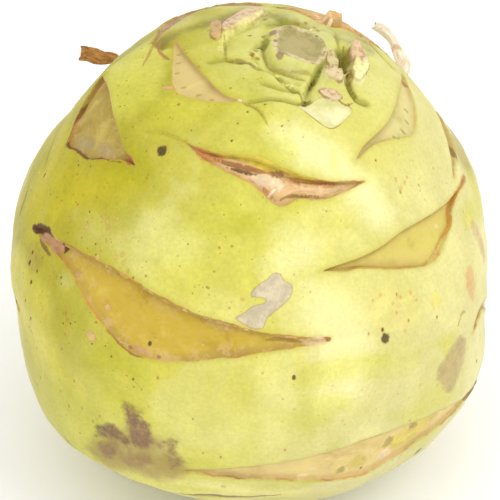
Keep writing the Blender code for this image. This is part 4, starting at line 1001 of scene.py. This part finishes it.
def corm_triangles():
    """Joins the corm's points on a flat map seen from the root: their directions, and the triangles."""
    towards, links = corm_points()
    flat = towards[:, :2] / (1 + towards[:, 2])[:, None]
    joined = delaunay_2d_cdt([Vector(p) for p in flat], links, [], 0, 1e-6)
    flat = np.array([tuple(p) for p in joined[0]])
    spread = (flat**2).sum(-1)
    towards = np.stack([2 * flat[:, 0], 2 * flat[:, 1], 1 - spread], -1) / (1 + spread)[:, None]
    return towards, joined[2]


def root_rows():
    """Rings round the root: its flat end's edge, its neck, and where it meets the corm."""
    turns = np.linspace(0, 360, ROOT_POINTS, endpoint=False)
    for angle in (ROOT_ANGLE, 0.5 * (ROOT_ANGLE + NECK_ANGLE), NECK_ANGLE, NECK_ANGLE + 3.0):
        yield direction(turns, angle - 90.0), 0.8


def even_sphere(spacing):
    """Directions spread evenly over the corm, about so many millimetres apart."""
    count = int(4 * np.pi * CENTRE_HEIGHT**2 / (0.866 * spacing**2))
    k = np.arange(count) + 0.5
    z = 1 - 2 * k / count
    turn = k * np.pi * (3 - np.sqrt(5))
    flat = np.sqrt(1 - z * z)
    return np.stack([flat * np.cos(turn), flat * np.sin(turn), z], -1)


class Net:
    """The corm's points as directions, and the links that hold its edges together."""

    def __init__(self):
        self.ways = []
        self.links = []
        self.found = KDTree(MOST_POINTS)
        self.found.balance()

    def add(self, towards, keep_off, longest_link=0.0):
        """Takes in the directions that keep clear of all earlier ones, linked up where they are close."""
        fresh = []
        for way in towards[from_root(towards) > ROOT_ANGLE - 0.01]:
            _, index, distance = self.found.find(way)
            if index is None or distance * CENTRE_HEIGHT > keep_off:
                fresh.append(way)
        for k, way in enumerate(fresh):
            if np.linalg.norm(way - fresh[k - 1]) * CENTRE_HEIGHT < longest_link:
                self.links.append((len(self.ways) + (-1 if k else len(fresh) - 1), len(self.ways)))
            self.found.insert(way, len(self.ways))
            self.ways.append(way)
        self.found.balance()


def add_edges(net):
    """The rows of points along every edge: the root, the pits, the scars, the crown and the marks."""
    for towards, keep_off in root_rows():
        net.add(towards, keep_off, 3.0)
    for pit in ALL_PITS:
        for towards, keep_off in pit.rows():
            net.add(towards, keep_off)
    for scar in ALL_SCARS:
        for towards, keep_off in scar.rows():
            net.add(towards, keep_off, 1.6 * scar.spacing)
    for points, keep_off in crown_rows():
        net.add(CROWN.round(points), keep_off, 1.6 * CROWN_SPACING)
    for shape in ALL_MARKS + ALL_STAINS_AND_PAINTED_LIGHT:
        for points, keep_off in shape.rows():
            net.add(shape.map.round(points), keep_off)


def add_fields(net):
    """Even points between the edges: closest on the crown, then in and near the scars."""
    towards = even_sphere(CROWN_SPACING)
    net.add(towards[towards @ CROWN.centre > np.cos(CROWN_REACH / CROWN.scale)], 0.7 * CROWN_SPACING)
    seen, hidden = ALL_SCARS[:len(SCARS)], ALL_SCARS[len(SCARS):]
    for spacing, scars in ((1.15 * SCAR_SPACING, seen), (HIDDEN_SPACING, hidden)):
        towards = even_sphere(spacing)
        best = np.full(len(towards), -np.inf)
        for scar in scars:
            near = np.flatnonzero(scar.near(towards))
            best[near] = np.maximum(best[near], scar.places(towards[near])[0])
        net.add(towards[best > -2.2], 0.7 * spacing)
    net.add(even_sphere(BODY_SPACING), 0.66 * BODY_SPACING)


def corm_points():
    """Directions for the corm's points, its edges first, and links that hold its edges together."""
    net = Net()
    add_edges(net)
    add_fields(net)
    return np.array(net.ways), net.links


def small_relief(towards, within, crown, mark):
    """The lumps of the skin, the grain of the scars and the rough cut faces, in millimetres."""
    lumps = np.array([noise.noise(Vector(way) * 7) + 0.6 * noise.noise(Vector(way) * 17)
                      for way in towards])
    grain = np.array([noise.noise(Vector(way) * 45) for way in towards])
    height = LUMPS * lumps
    height += np.where(within > 0.5, SCAR_GRAIN * grain, 0)
    height += np.where(crown > 0.4, CUT_GRAIN * grain, 0)
    ripple = RIPPLES * np.sin(2 * np.pi * (crown + 0.5 * lumps) / RIPPLE_LENGTH)
    height += ripple * rise((crown + 5) / 1.2) * rise((-0.6 - crown) / 0.6)
    return height - MARK_DEPTH * rise(mark / 0.2 + 0.5)


def placed(name, data):
    """A new object of the scene."""
    made = bpy.data.objects.new(name, data)
    bpy.context.scene.collection.objects.link(made)
    return made


def as_data(name, mesh, **facts):
    """A mesh made ready for an object, with a value or three for each vertex under each name."""
    data = bpy.data.meshes.new(name)
    mesh.to_mesh(data)
    mesh.free()
    data.shade_smooth()
    for fact, values in facts.items():
        kind, slot = ("FLOAT", "value") if values.ndim == 1 else ("FLOAT_VECTOR", "vector")
        layer = data.attributes.new(fact, kind, "POINT")
        layer.data.foreach_set(slot, values.ravel().astype(np.float32))
    return data


def corm_piece():
    """The corm on its finer mesh, with what its material needs to know at each vertex."""
    towards, triangles = corm_triangles()
    facts = corm_facts(towards)
    points = surface(towards)
    fade = rise(root_share(towards) * 3)
    lift = small_relief(towards, facts["scar"][:, 0], facts["crown"][:, 0], facts["mark"][:, 0]) * fade
    points = (points + towards * lift[:, None]) * METRES * FIT
    mesh = bmesh.new()
    verts = [mesh.verts.new(point) for point in points]
    for face in triangles:
        mesh.faces.new([verts[i] for i in face])
    bmesh.ops.holes_fill(mesh, edges=[e for e in mesh.edges if e.is_boundary], sides=0)
    bmesh.ops.recalc_face_normals(mesh, faces=mesh.faces[:])
    return placed("kohlrabi_corm", as_data("kohlrabi_corm", mesh, **facts))


def scar_facts(towards):
    """How far inside a scar each vertex is, its place there, and the scar's look and tint."""
    count = len(towards)
    scar = np.tile([-9.0, 9.0, -9.0], (count, 1))
    place = np.zeros((count, 3))
    look = np.zeros((count, 3))
    tint = np.tile(np.array(linear(*HIDDEN_TINT)), (count, 1))
    for k, form in enumerate(ALL_SCARS):
        near = np.flatnonzero(form.near(towards))
        _, up, down, along, length = form.places(towards[near])
        fibre, rim, over = SCAR_LOOKS[k] if k < len(SCAR_LOOKS) else HIDDEN_LOOK
        up = up + over
        inner = np.minimum(up, down)
        better = inner > scar[near, 0]
        at = near[better]
        same = np.ones(len(along))
        to_tip = np.minimum(along, 1 - along) * length
        scar[at] = np.stack([inner, up, down], -1)[better]
        place[at] = np.stack([along * length, down, 7.3 * k * same], -1)[better]
        look[at] = np.stack([to_tip, fibre * same, rim * same], -1)[better]
        tint[at] = linear(*(SCAR_TINTS[k] if k < len(SCAR_TINTS) else HIDDEN_TINT))
    return dict(scar=scar, place=place, look=look, tint=tint)


def crown_facts(towards):
    """How far inside the stem's end, a crease, a stub or the slice each vertex is, and the stub's tint."""
    facing = towards @ CROWN.centre > 0
    p = CROWN.flat(towards[facing])
    crown = np.tile([-9.0, 0.0, 0.0], (len(towards), 1))
    crown[facing, 0] = signed_off(p, STEM_LINE)
    for line, width, depth, _ in CREASE_LINES:
        off, along, _ = measure(p, line)
        fade = rise(np.minimum(along, 1 - along) * 5)
        crown[facing, 1] = np.maximum(crown[facing, 1], fade * depth / 2 * np.exp(-((off / width) ** 2)))
    crown[facing, 2] = np.exp(-((np.hypot(*p.T) / 15) ** 2))
    stub = np.tile([-9.0, -9.0, 0.0], (len(towards), 1))
    tint = np.tile(np.array(linear(*STUB_TINTS[0])), (len(towards), 1))
    for (line, _), shade in zip(STUB_LINES, STUB_TINTS):
        off = signed_off(p, line)
        better = off > stub[facing, 0]
        at = np.flatnonzero(facing)[better]
        stub[at, 0] = off[better]
        tint[at] = linear(*shade)
    stub[facing, 1] = signed_off(p, SLICE_LINE)
    return dict(crown=crown, stub=stub, stub_tint=tint)


def corm_facts(towards):
    """What the material reads at each vertex: distances in millimetres from edges, and colours."""
    facts = dict(**scar_facts(towards), **crown_facts(towards), root=root_share(towards))
    for name, shapes in (("cloud", ALL_CLOUDS), ("stain_and_painted_light", ALL_STAINS_AND_PAINTED_LIGHT), ("mark", ALL_MARKS)):
        facts[name], facts[name + "_tint"] = painted(towards, shapes)
    return facts


def ragged_end(turns):
    """How far each side of a stalk's torn tip stands back or forth."""
    coarse = np.random.default_rng(SEED).uniform(-0.5, 0.3, 14)
    fine = np.random.default_rng(SEED + 1).uniform(-0.35, 0.0, STALK_SIDES)
    return np.interp(turns, np.linspace(0, 2 * np.pi, 15), np.append(coarse, coarse[0])) + fine


def stalk_rings(spine, half_widths, half_thicknesses, flat_side, twist):
    """A stalk's rings of points, and how far along each point lies, its turn and how far the tip is."""
    line = smooth_line(np.array(spine, float), steps=40)
    passed = np.concatenate([[0], np.cumsum(np.linalg.norm(np.diff(line, axis=0), axis=1))])
    at = np.linspace(0, passed[-1], int(passed[-1] / STALK_STEP) + 2)
    middle = np.stack([np.interp(at, passed, line[:, k]) for k in range(3)], -1)
    along = np.gradient(middle, axis=0)
    along /= np.linalg.norm(along, axis=1)[:, None]
    share = np.linspace(0, 1, len(half_widths))
    turns = np.linspace(0, 2 * np.pi, STALK_SIDES, endpoint=False)
    ragged = ragged_end(turns)
    for k, (place, way) in enumerate(zip(middle, along)):
        t = k / (len(middle) - 1)
        side = np.array(flat_side) - (np.array(flat_side) @ way) * way
        side /= np.linalg.norm(side)
        through = np.cross(way, side)
        angle = np.radians(twist) * t
        side, through = (np.cos(angle) * side + np.sin(angle) * through,
                         np.cos(angle) * through - np.sin(angle) * side)
        ridge = 1 + STALK_RIDGE_DEPTH * np.cos(STALK_RIDGES * turns + 2.5 * t)
        strands = [noise.noise(Vector((2.2 * np.cos(a), 2.2 * np.sin(a), 0.25 * at[k] + 40 * twist)))
                   for a in turns]
        ridge -= STALK_FIBRE_DEPTH * np.abs(np.array(strands))
        wide = np.interp(t, share, half_widths) * ridge * np.cos(turns)
        thick = np.interp(t, share, half_thicknesses) * ridge * np.sin(turns)
        end = ragged * rise((at[k] - at[-1] + 1.5) / 1.5)
        ring = place + wide[:, None] * side + thick[:, None] * through + end[:, None] * way
        yield ring, [(at[k], a, passed[-1] - at[k]) for a in turns]


def stalk_piece(name, spec):
    """A dry leaf stalk: a flattened, fibrous strip along its middle line, ragged at its tip."""
    mesh = bmesh.new()
    rings = []
    places = []
    for ring, ring_places in stalk_rings(**spec):
        rings.append([mesh.verts.new(p * METRES * FIT) for p in ring])
        places += ring_places
    for lower, upper in zip(rings, rings[1:]):
        for i in range(STALK_SIDES):
            j = (i + 1) % STALK_SIDES
            mesh.faces.new((lower[i], lower[j], upper[j], upper[i]))
    for ring in (rings[0], rings[-1]):
        mesh.faces.new(ring)
    bmesh.ops.triangulate(mesh, faces=[f for f in mesh.faces if len(f.verts) > 4])
    bmesh.ops.recalc_face_normals(mesh, faces=mesh.faces[:])
    return placed(name, as_data(name, mesh, place=np.array(places)))


class Shader:
    """A material being put together from shader nodes."""

    def __init__(self, name):
        self.material = bpy.data.materials.new(name)
        self.material.use_nodes = True
        self.tree = self.material.node_tree
        self.out = self.tree.nodes["Principled BSDF"]
        self.at = self.add("ShaderNodeTexCoord").outputs["Object"]

    def add(self, kind, inputs=(), **settings):
        """A new node, with values or sockets for its inputs."""
        made = self.tree.nodes.new(kind)
        for name, value in settings.items():
            setattr(made, name, value)
        for name, value in dict(inputs).items():
            self.put(made.inputs[name], value)
        return made

    def put(self, socket, value):
        """Links a socket to an input, or sets the input's value."""
        if isinstance(value, bpy.types.NodeSocket):
            self.tree.links.new(value, socket)
        else:
            socket.default_value = value

    def attribute(self, name, kind="Vector"):
        """What the mesh holds at each vertex under the name."""
        return self.add("ShaderNodeAttribute", attribute_name=name).outputs[kind]

    def split(self, vector):
        """The three parts of a vector."""
        return self.add("ShaderNodeSeparateXYZ", {"Vector": vector}).outputs

    def facts(self, name):
        """The three values that the mesh holds under the name."""
        return self.split(self.attribute(name))

    def noise(self, scale, detail=3.0, roughness=0.55, distortion=0.0, at=None, stretch=None):
        """Clouds from 0 to 1 over the object, or over other places, stretched or not."""
        at = self.at if at is None else at
        if stretch:
            at = self.add("ShaderNodeMapping", {"Vector": at, "Scale": stretch}).outputs[0]
        return self.add("ShaderNodeTexNoise", {
            "Vector": at, "Scale": scale, "Detail": detail, "Roughness": roughness,
            "Distortion": distortion}).outputs["Fac"]

    def ramp(self, value, start, end, low=0.0, high=1.0):
        """Goes smoothly from low to high while the value goes from start to end."""
        made = self.add("ShaderNodeMapRange", {
            "Value": value, "From Min": start, "From Max": end, "To Min": low, "To Max": high},
            interpolation_type="SMOOTHSTEP")
        return made.outputs["Result"]

    def math(self, operation, *values):
        """One sum of the shader's."""
        made = self.add("ShaderNodeMath", operation=operation)
        for socket, value in zip(made.inputs, values):
            self.put(socket, value)
        return made.outputs[0]

    def times(self, *values):
        return self.math("MULTIPLY", *values)

    def plus(self, *values):
        return self.math("ADD", *values)

    def minus(self, *values):
        return self.math("SUBTRACT", *values)

    def times_plus(self, *values):
        """The first value times the second, plus the third."""
        return self.math("MULTIPLY_ADD", *values)

    def unsigned(self, value):
        """The value without its sign."""
        return self.math("ABSOLUTE", value)

    def mix(self, share, first, second, blend="MIX"):
        """The second colour over the first, by a share; a colour is a socket or 0 to 255 as in pictures."""
        made = self.add("ShaderNodeMix", data_type="RGBA", blend_type=blend)
        self.put(made.inputs[0], share)
        for socket, colour in ((made.inputs[6], first), (made.inputs[7], second)):
            self.put(socket, (*linear(*colour), 1.0) if isinstance(colour, tuple) else colour)
        return made.outputs[2]

    def wobble(self, scale, amount):
        """A distance that wavers about nought, as much as the amount each way."""
        return self.times(self.minus(self.noise(scale, 4, 0.65), 0.5), 3.0 * amount)

    def dots(self, colour, scale, radius, share, shade, where=1.0):
        """Scatters round dots of many sizes, one in each of a share of the cells of a grid."""
        cells = self.add("ShaderNodeTexVoronoi", {
            "Vector": self.at, "Scale": float(scale), "Randomness": 0.9})
        chance, size, _ = self.split(cells.outputs["Color"])
        size = self.times_plus(size, radius * scale / 1000, 0.4 * radius * scale / 1000)
        within = self.ramp(cells.outputs["Distance"], size, self.times(size, 0.45))
        chosen = self.math("LESS_THAN", chance, share)
        return self.mix(self.times(self.times(within, chosen), where), colour, shade)

    def bump(self, height, strength, distance, normal=None):
        """Fine relief that only the light shows, over an earlier one if there is any."""
        inputs = {"Height": height, "Strength": strength, "Distance": distance}
        if normal is not None:
            inputs["Normal"] = normal
        return self.add("ShaderNodeBump", inputs).outputs["Normal"]


def linear(red, green, blue):
    """A colour given as 0 to 255 in the way pictures store it, as light."""
    share = np.array([red, green, blue]) / 255
    return tuple(np.where(share < 0.04045, share / 12.92, ((share + 0.055) / 1.055) ** 2.4))


def skin_colour(s):
    """The green skin: olive left, yellow front, pale right, partly painted shade and light; clouds, veins
    and dots.
    """
    x, y, z = s.split(s.at)
    # Olive on the left and pale on the right, leaning with height: partly the skin's own tone, partly
    # painted shade on the left and painted light on the right
    x = s.times_plus(s.minus(s.noise(30, 3, 0.55, 0.5), 0.5), 0.04, x)
    x = s.times_plus(s.minus(0.05, z), 0.45, x)
    colour = s.mix(s.ramp(x, -0.055, -0.014), SKIN_OLIVE_AND_SHADE, SKIN_YELLOW)
    colour = s.mix(s.ramp(x, -0.008, 0.035), colour, SKIN_PALE_AND_LIGHT)
    back = s.times(s.ramp(y, 0.004, 0.03), s.ramp(z, 0.06, 0.085))
    colour = s.mix(back, colour, SKIN_BACK)
    off, softness, strength = s.facts("cloud")
    off = s.plus(off, s.wobble(90, 3.0))
    mask = s.plus(s.math("DIVIDE", off, softness), 0.5)
    colour = s.mix(s.times(s.ramp(mask, 0.0, 1.0), strength), colour, s.attribute("cloud_tint", "Color"))
    clouds = s.noise(46, 2.5, 0.5, 0.8)
    colour = s.mix(s.ramp(clouds, 0.48, 0.66), colour, RICHER, "MULTIPLY")
    colour = s.mix(s.ramp(clouds, 0.47, 0.34, 0.0, 0.4), colour, SKIN_CLOUD)
    deep = s.ramp(x, 0.02, -0.04, 0.99, 0.93)
    colour = s.mix(1.0, colour, s.ramp(s.noise(190, 5, 0.7, 0.2), 0.3, 0.7, deep, 1.05), "MULTIPLY")
    veins = s.noise(1.0, 3, 0.6, 0.3, stretch=(200.0, 200.0, 50.0))
    colour = s.mix(1.0, colour, s.ramp(veins, 0.4, 0.7, 0.98, 1.04), "MULTIPLY")
    colour = s.mix(1.0, colour, s.ramp(s.noise(1300, 2, 0.6), 0.3, 0.7, 0.95, 1.04), "MULTIPLY")
    more = s.ramp(s.noise(55, 3, 0.6), 0.42, 0.6, 0.08, 1.0)
    left = s.times(s.plus(more, s.ramp(x, -0.02, -0.05, 0.0, 0.5)), s.ramp(x, 0.02, -0.04, 0.6, 1.3))
    colour = s.dots(colour, 1000, 0.17, 0.45, SPECKLE, s.times(left, 0.6))
    colour = s.dots(colour, 700, 0.26, 0.42, SPECKLE, s.times(left, 0.8))
    colour = s.dots(colour, 500, 0.36, 0.32, SPECKLE_ORANGE, s.times(left, 0.75))
    return s.dots(colour, 400, 0.45, 0.12, LENTICEL, s.times(left, 0.6))


def marks_colour(s, colour):
    """Stains and painted light and shade, with uneven edges and a grain in them; small crisp marks and
    painted fold shade.
    """
    grain = s.ramp(s.noise(900, 4, 0.8), 0.35, 0.6)
    blotchy = s.ramp(s.noise(420, 4, 0.7), 0.35, 0.65, 0.84, 1.12)
    fine = s.wobble(800, 0.9)
    for name, broad in (("stain_and_painted_light", s.wobble(230, 1.0)), ("mark", 0.0)):
        off, softness, strength = s.facts(name)
        waver = s.times_plus(fine, s.ramp(softness, 0.8, 1.6, 1.0, 0.35), broad)
        off = s.times_plus(waver, s.math("MAXIMUM", softness, 0.16), off)
        mask = s.plus(s.math("DIVIDE", off, softness), 0.5)
        mask = s.times(s.ramp(mask, 0.0, 1.0), strength)
        if name == "stain_and_painted_light":
            loss = s.times(s.minus(1.0, grain), s.ramp(softness, 0.6, 1.4, 0.0, -0.3))
            mask = s.times(mask, s.plus(loss, 1.0))
        tint = s.mix(1.0, s.attribute(name + "_tint", "Color"), blotchy, "MULTIPLY")
        colour = s.mix(mask, colour, tint)
        rim = s.ramp(s.unsigned(off), 0.2, 0.04)
        rim = s.times(s.times(rim, s.ramp(softness, 0.35, 0.2, 0.0, 0.4)), strength)
        colour = s.mix(rim, colour, MARK_EDGE)
    return colour


def scar_colour(s, colour):
    """The leaf scars: a mottled face, tan border and painted ledge shadow, a thin brown line round it, a
    corky rim.
    """
    inner, up, down = s.facts("scar")
    to_tip, fibre, rim = s.facts("look")
    place = s.attribute("place")
    waver = s.wobble(260, 0.25)
    edge = s.plus(inner, waver)
    patchy = s.noise(75, 3, 0.6, 0.5)
    mottle = s.noise(110, 4, 0.65, 0.6)
    face = s.attribute("tint", "Color")
    face = s.mix(s.ramp(mottle, 0.5, 0.72, 0.0, 0.5), face, SCAR_SHADE, "MULTIPLY")
    face = s.mix(s.ramp(mottle, 0.48, 0.3, 0.0, 0.3), face, SCAR_LIGHT)
    face = s.dots(face, 420, 0.2, 0.3, SCAR_BORDER, s.ramp(patchy, 0.4, 0.6, 0.1, 0.7))
    grain = s.noise(1.0, 4, 0.65, 1.4, at=place, stretch=(0.3, 1.6, 1.0))
    torn = s.times(fibre, s.ramp(mottle, 0.35, 0.55, 0.35, 1.0))
    face = s.mix(s.times(s.ramp(grain, 0.55, 0.66), torn), face, FIBRE_BROWN)
    face = s.mix(s.times(s.ramp(grain, 0.5, 0.36), fibre), face, FIBRE_PALE)
    # Painted shadow under the ledge of the upper edge, scaled by how brown the border is
    shade = s.times(s.ramp(up, 1.8, 0.2, 0.0, 0.6), s.ramp(rim, 0.0, 0.6, 0.4, 1.0))
    face = s.mix(shade, face, LEDGE_PAINTED_SHADOW, "MULTIPLY")
    border = s.times(s.ramp(s.plus(edge, waver), 2.4, 0.2), s.ramp(patchy, 0.35, 0.6, 0.3, 0.95))
    face = s.mix(s.times(border, rim), face, SCAR_BORDER)
    cork = s.times(s.ramp(s.noise(330, 4, 0.72), 0.5, 0.6, 0.0, 0.7), s.ramp(edge, 4.5, 0.8, 0.1, 1.0))
    face = s.mix(s.times(cork, rim), face, CORKY)
    corky = s.times(s.ramp(s.plus(down, waver), 0.9, 0.3), rim)
    face = s.mix(s.times(corky, s.ramp(patchy, 0.44, 0.38, 0.0, 0.5)), face, RIM_PINK)
    face = s.mix(s.times(s.ramp(to_tip, 3.0, 0.3), rim), face, TIP_BROWN)
    colour = s.mix(s.ramp(edge, -1.2, 0.0, 0.0, 0.3), colour, EDGE_YELLOW)
    colour = s.mix(s.ramp(edge, -0.02, 0.12), colour, face)
    line = s.ramp(s.unsigned(s.minus(edge, 0.05)), 0.24, 0.05)
    line = s.times(line, s.ramp(s.noise(130, 3, 0.6), 0.42, 0.6, 0.05, 0.8))
    line = s.times(line, s.ramp(rim, 0.0, 0.7, 0.45, 1.0))
    brown = s.mix(s.times(rim, s.ramp(patchy, 0.42, 0.58)), EDGE_ORANGE, EDGE_BROWN)
    return s.mix(line, colour, brown)


def crown_colour(s, colour):
    """The crown: greener, with painted shade in its creases, pale cut faces, and the grey cut end of the
    stem.
    """
    stem, crease, middle = s.facts("crown")
    stub, slice_off, _ = s.facts("stub")
    waver = s.wobble(420, 0.25)
    broad = s.noise(190, 4, 0.6, 0.4)
    colour = s.mix(s.times(middle, s.ramp(broad, 0.35, 0.65, 0.35, 0.95)), colour, CROWN_GREEN)
    ripple = s.ramp(s.noise(170, 3, 0.6, 0.5), 0.4, 0.62, 0.0, 0.75)
    colour = s.mix(s.times(s.ramp(stem, -4.5, -0.8), ripple), colour, CROWN_DARK)
    # Painted shade along the crown's creases: soft beside them, deeper along their floors
    colour = s.mix(s.ramp(crease, 0.05, 0.4, 0.0, 0.6), colour, CREASE_PAINTED_SHADE)
    colour = s.mix(s.ramp(crease, 0.35, 0.8, 0.0, 0.65), colour, CREASE_PAINTED_DEEP_SHADE)
    slice_off = s.plus(slice_off, s.times(waver, 0.5))
    cut = s.mix(s.ramp(s.noise(240, 4, 0.65), 0.4, 0.62), SLICE_CREAM, SLICE_PALE)
    colour = s.mix(s.ramp(slice_off, 0.0, 0.25, 0.0, 0.95), colour, cut)
    outline = s.ramp(s.unsigned(slice_off), 0.2, 0.04)
    colour = s.mix(s.times(outline, s.ramp(s.noise(150, 2), 0.45, 0.55, 0.1, 0.7)), colour, STUB_EDGE)
    stub = s.plus(stub, s.times(waver, 0.8))
    face = s.mix(s.ramp(s.noise(650, 4, 0.75), 0.47, 0.64, 0.0, 0.8),
                 s.attribute("stub_tint", "Color"), STUB_SHADE)
    colour = s.mix(s.ramp(stub, -0.25, 0.0), colour, face)
    outline = s.ramp(s.unsigned(s.plus(stub, 0.12)), 0.3, 0.06)
    outline = s.times(outline, s.ramp(s.noise(260, 3, 0.6), 0.38, 0.56, 0.1, 0.65))
    colour = s.mix(outline, colour, STUB_EDGE)
    stem = s.plus(stem, waver)
    face = s.mix(s.ramp(stem, 0.5, 1.1), STEM_RIM, STEM_FACE)
    face = s.mix(s.ramp(s.noise(300, 4, 0.7), 0.44, 0.6, 0.0, 0.9), face, STEM_SHADE)
    face = s.dots(face, 620, 0.3, 0.3, STEM_RIM, 0.6)
    return s.mix(s.ramp(stem, -0.3, 0.0), colour, face)


def skin_material():
    """The corm's material: skin, crown, scars, marks and the cut root, with a waxy sheen."""
    s = Shader("skin")
    colour = skin_colour(s)
    colour = crown_colour(s, colour)
    colour = scar_colour(s, colour)
    colour = marks_colour(s, colour)
    root = s.attribute("root", "Fac")
    wood = s.mix(s.noise(300, 4, 0.7), ROOT_BROWN, ROOT_PALE)
    colour = s.mix(s.ramp(root, 1.0, 0.8), colour, wood)
    s.put(s.out.inputs["Base Color"], colour)
    inner, _, _ = s.facts("scar")
    s.put(s.out.inputs["Roughness"], s.ramp(inner, -0.2, 0.3, SKIN_ROUGHNESS, SCAR_ROUGHNESS))
    _, _, height = s.split(s.at)
    s.put(s.out.inputs["Specular IOR Level"], s.ramp(height, 0.065, 0.03, *SHEEN))
    s.put(s.out.inputs["Subsurface Weight"], SUBSURFACE_SHARE)
    s.put(s.out.inputs["Subsurface Radius"], SUBSURFACE_RADIUS)
    s.put(s.out.inputs["Subsurface Scale"], SUBSURFACE_SCALE)
    normal = s.bump(s.noise(900, 4, 0.6), 0.25, 0.0002)
    normal = s.bump(s.noise(170, 3, 0.6, 0.3), 0.3, 0.0006, normal)
    s.put(s.out.inputs["Normal"], normal)
    return s.material


def stalk_material(name, pale, middle, dark):
    """Dry fibres along a leaf stalk."""
    s = Shader(name)
    place = s.attribute("place")
    grain = s.noise(1.0, 4, 0.65, 0.6, at=place, stretch=(0.5, 3.0, 0.0))
    blotch = s.noise(420, 4, 0.65, 0.5)
    colour = s.mix(s.ramp(grain, 0.4, 0.62), middle, pale)
    colour = s.mix(s.ramp(blotch, 0.52, 0.68, 0.0, 0.8), colour, dark)
    s.put(s.out.inputs["Base Color"], colour)
    s.put(s.out.inputs["Roughness"], STALK_ROUGHNESS)
    s.put(s.out.inputs["Normal"], s.bump(grain, 0.6, 0.0004))
    return s.material


def floor_material():
    """A plain pale floor with the faintest of clouds."""
    s = Shader("floor")
    made = s.add("ShaderNodeMix", data_type="RGBA")
    s.put(made.inputs[0], s.noise(3, 2, 0.5))
    for socket, tone in zip((made.inputs[6], made.inputs[7]), FLOOR_TONES):
        s.put(socket, (tone, tone, tone, 1.0))
    s.put(s.out.inputs["Base Color"], made.outputs[2])
    s.put(s.out.inputs["Roughness"], FLOOR_ROUGHNESS)
    s.put(s.out.inputs["Specular IOR Level"], 0.0)
    return s.material


def add_floor():
    """The floor that the kohlrabi stands on."""
    mesh = bmesh.new()
    bmesh.ops.create_grid(mesh, x_segments=1, y_segments=1, size=FLOOR_SIZE)
    data = bpy.data.meshes.new("floor")
    mesh.to_mesh(data)
    mesh.free()
    data.materials.append(floor_material())
    floor = placed("floor", data)


def add_light(name, place, size, power):
    """A round soft lamp, aimed at the corm's centre."""
    light = bpy.data.lights.new(name, "AREA")
    light.shape = "DISK"
    light.size = size
    light.energy = power
    made = placed(name, light)
    made.location = place
    aim = Vector((0, 0, CENTRE_HEIGHT * METRES)) - Vector(place)
    made.rotation_euler = aim.to_track_quat("-Z", "Y").to_euler()


def add_world():
    """Even white light from all round."""
    world = bpy.data.worlds.new("studio")
    world.use_nodes = True
    sky = world.node_tree.nodes["Background"].inputs
    sky["Color"].default_value = (1, 1, 1, 1)
    sky["Strength"].default_value = WORLD_STRENGTH
    bpy.context.scene.world = world
    bpy.context.scene.view_settings.view_transform = "Standard"


def add_camera():
    """The camera, in front of the corm and above it, as in the picture."""
    elevation = np.radians(CAMERA_ELEVATION)
    back = Vector((0, -np.cos(elevation), np.sin(elevation)))
    data = bpy.data.cameras.new("camera")
    data.sensor_width = CAMERA_SENSOR
    data.lens = CAMERA_LENS
    data.clip_start = CAMERA_NEAR
    camera = placed("camera", data)
    camera.location = Vector((0, 0, CENTRE_HEIGHT * METRES)) + back * CAMERA_DISTANCE
    camera.rotation_euler = (-back).to_track_quat("-Z", "Y").to_euler()
    bpy.context.scene.camera = camera


def main():
    """Builds the finer pieces, the floor, the lights and the camera."""
    corm = corm_piece()
    corm.data.materials.append(skin_material())
    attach(corm, "root")
    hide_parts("corm")
    for name, spec in STALKS.items():
        piece = stalk_piece("dry_" + name, spec)
        piece.data.materials.append(stalk_material("dry_" + name, *STALK_SHADES[name]))
        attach(piece, "root")
        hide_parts(name)
    add_floor()
    for light in LIGHTS:
        add_light(*light)
    add_world()
    add_camera()


main()
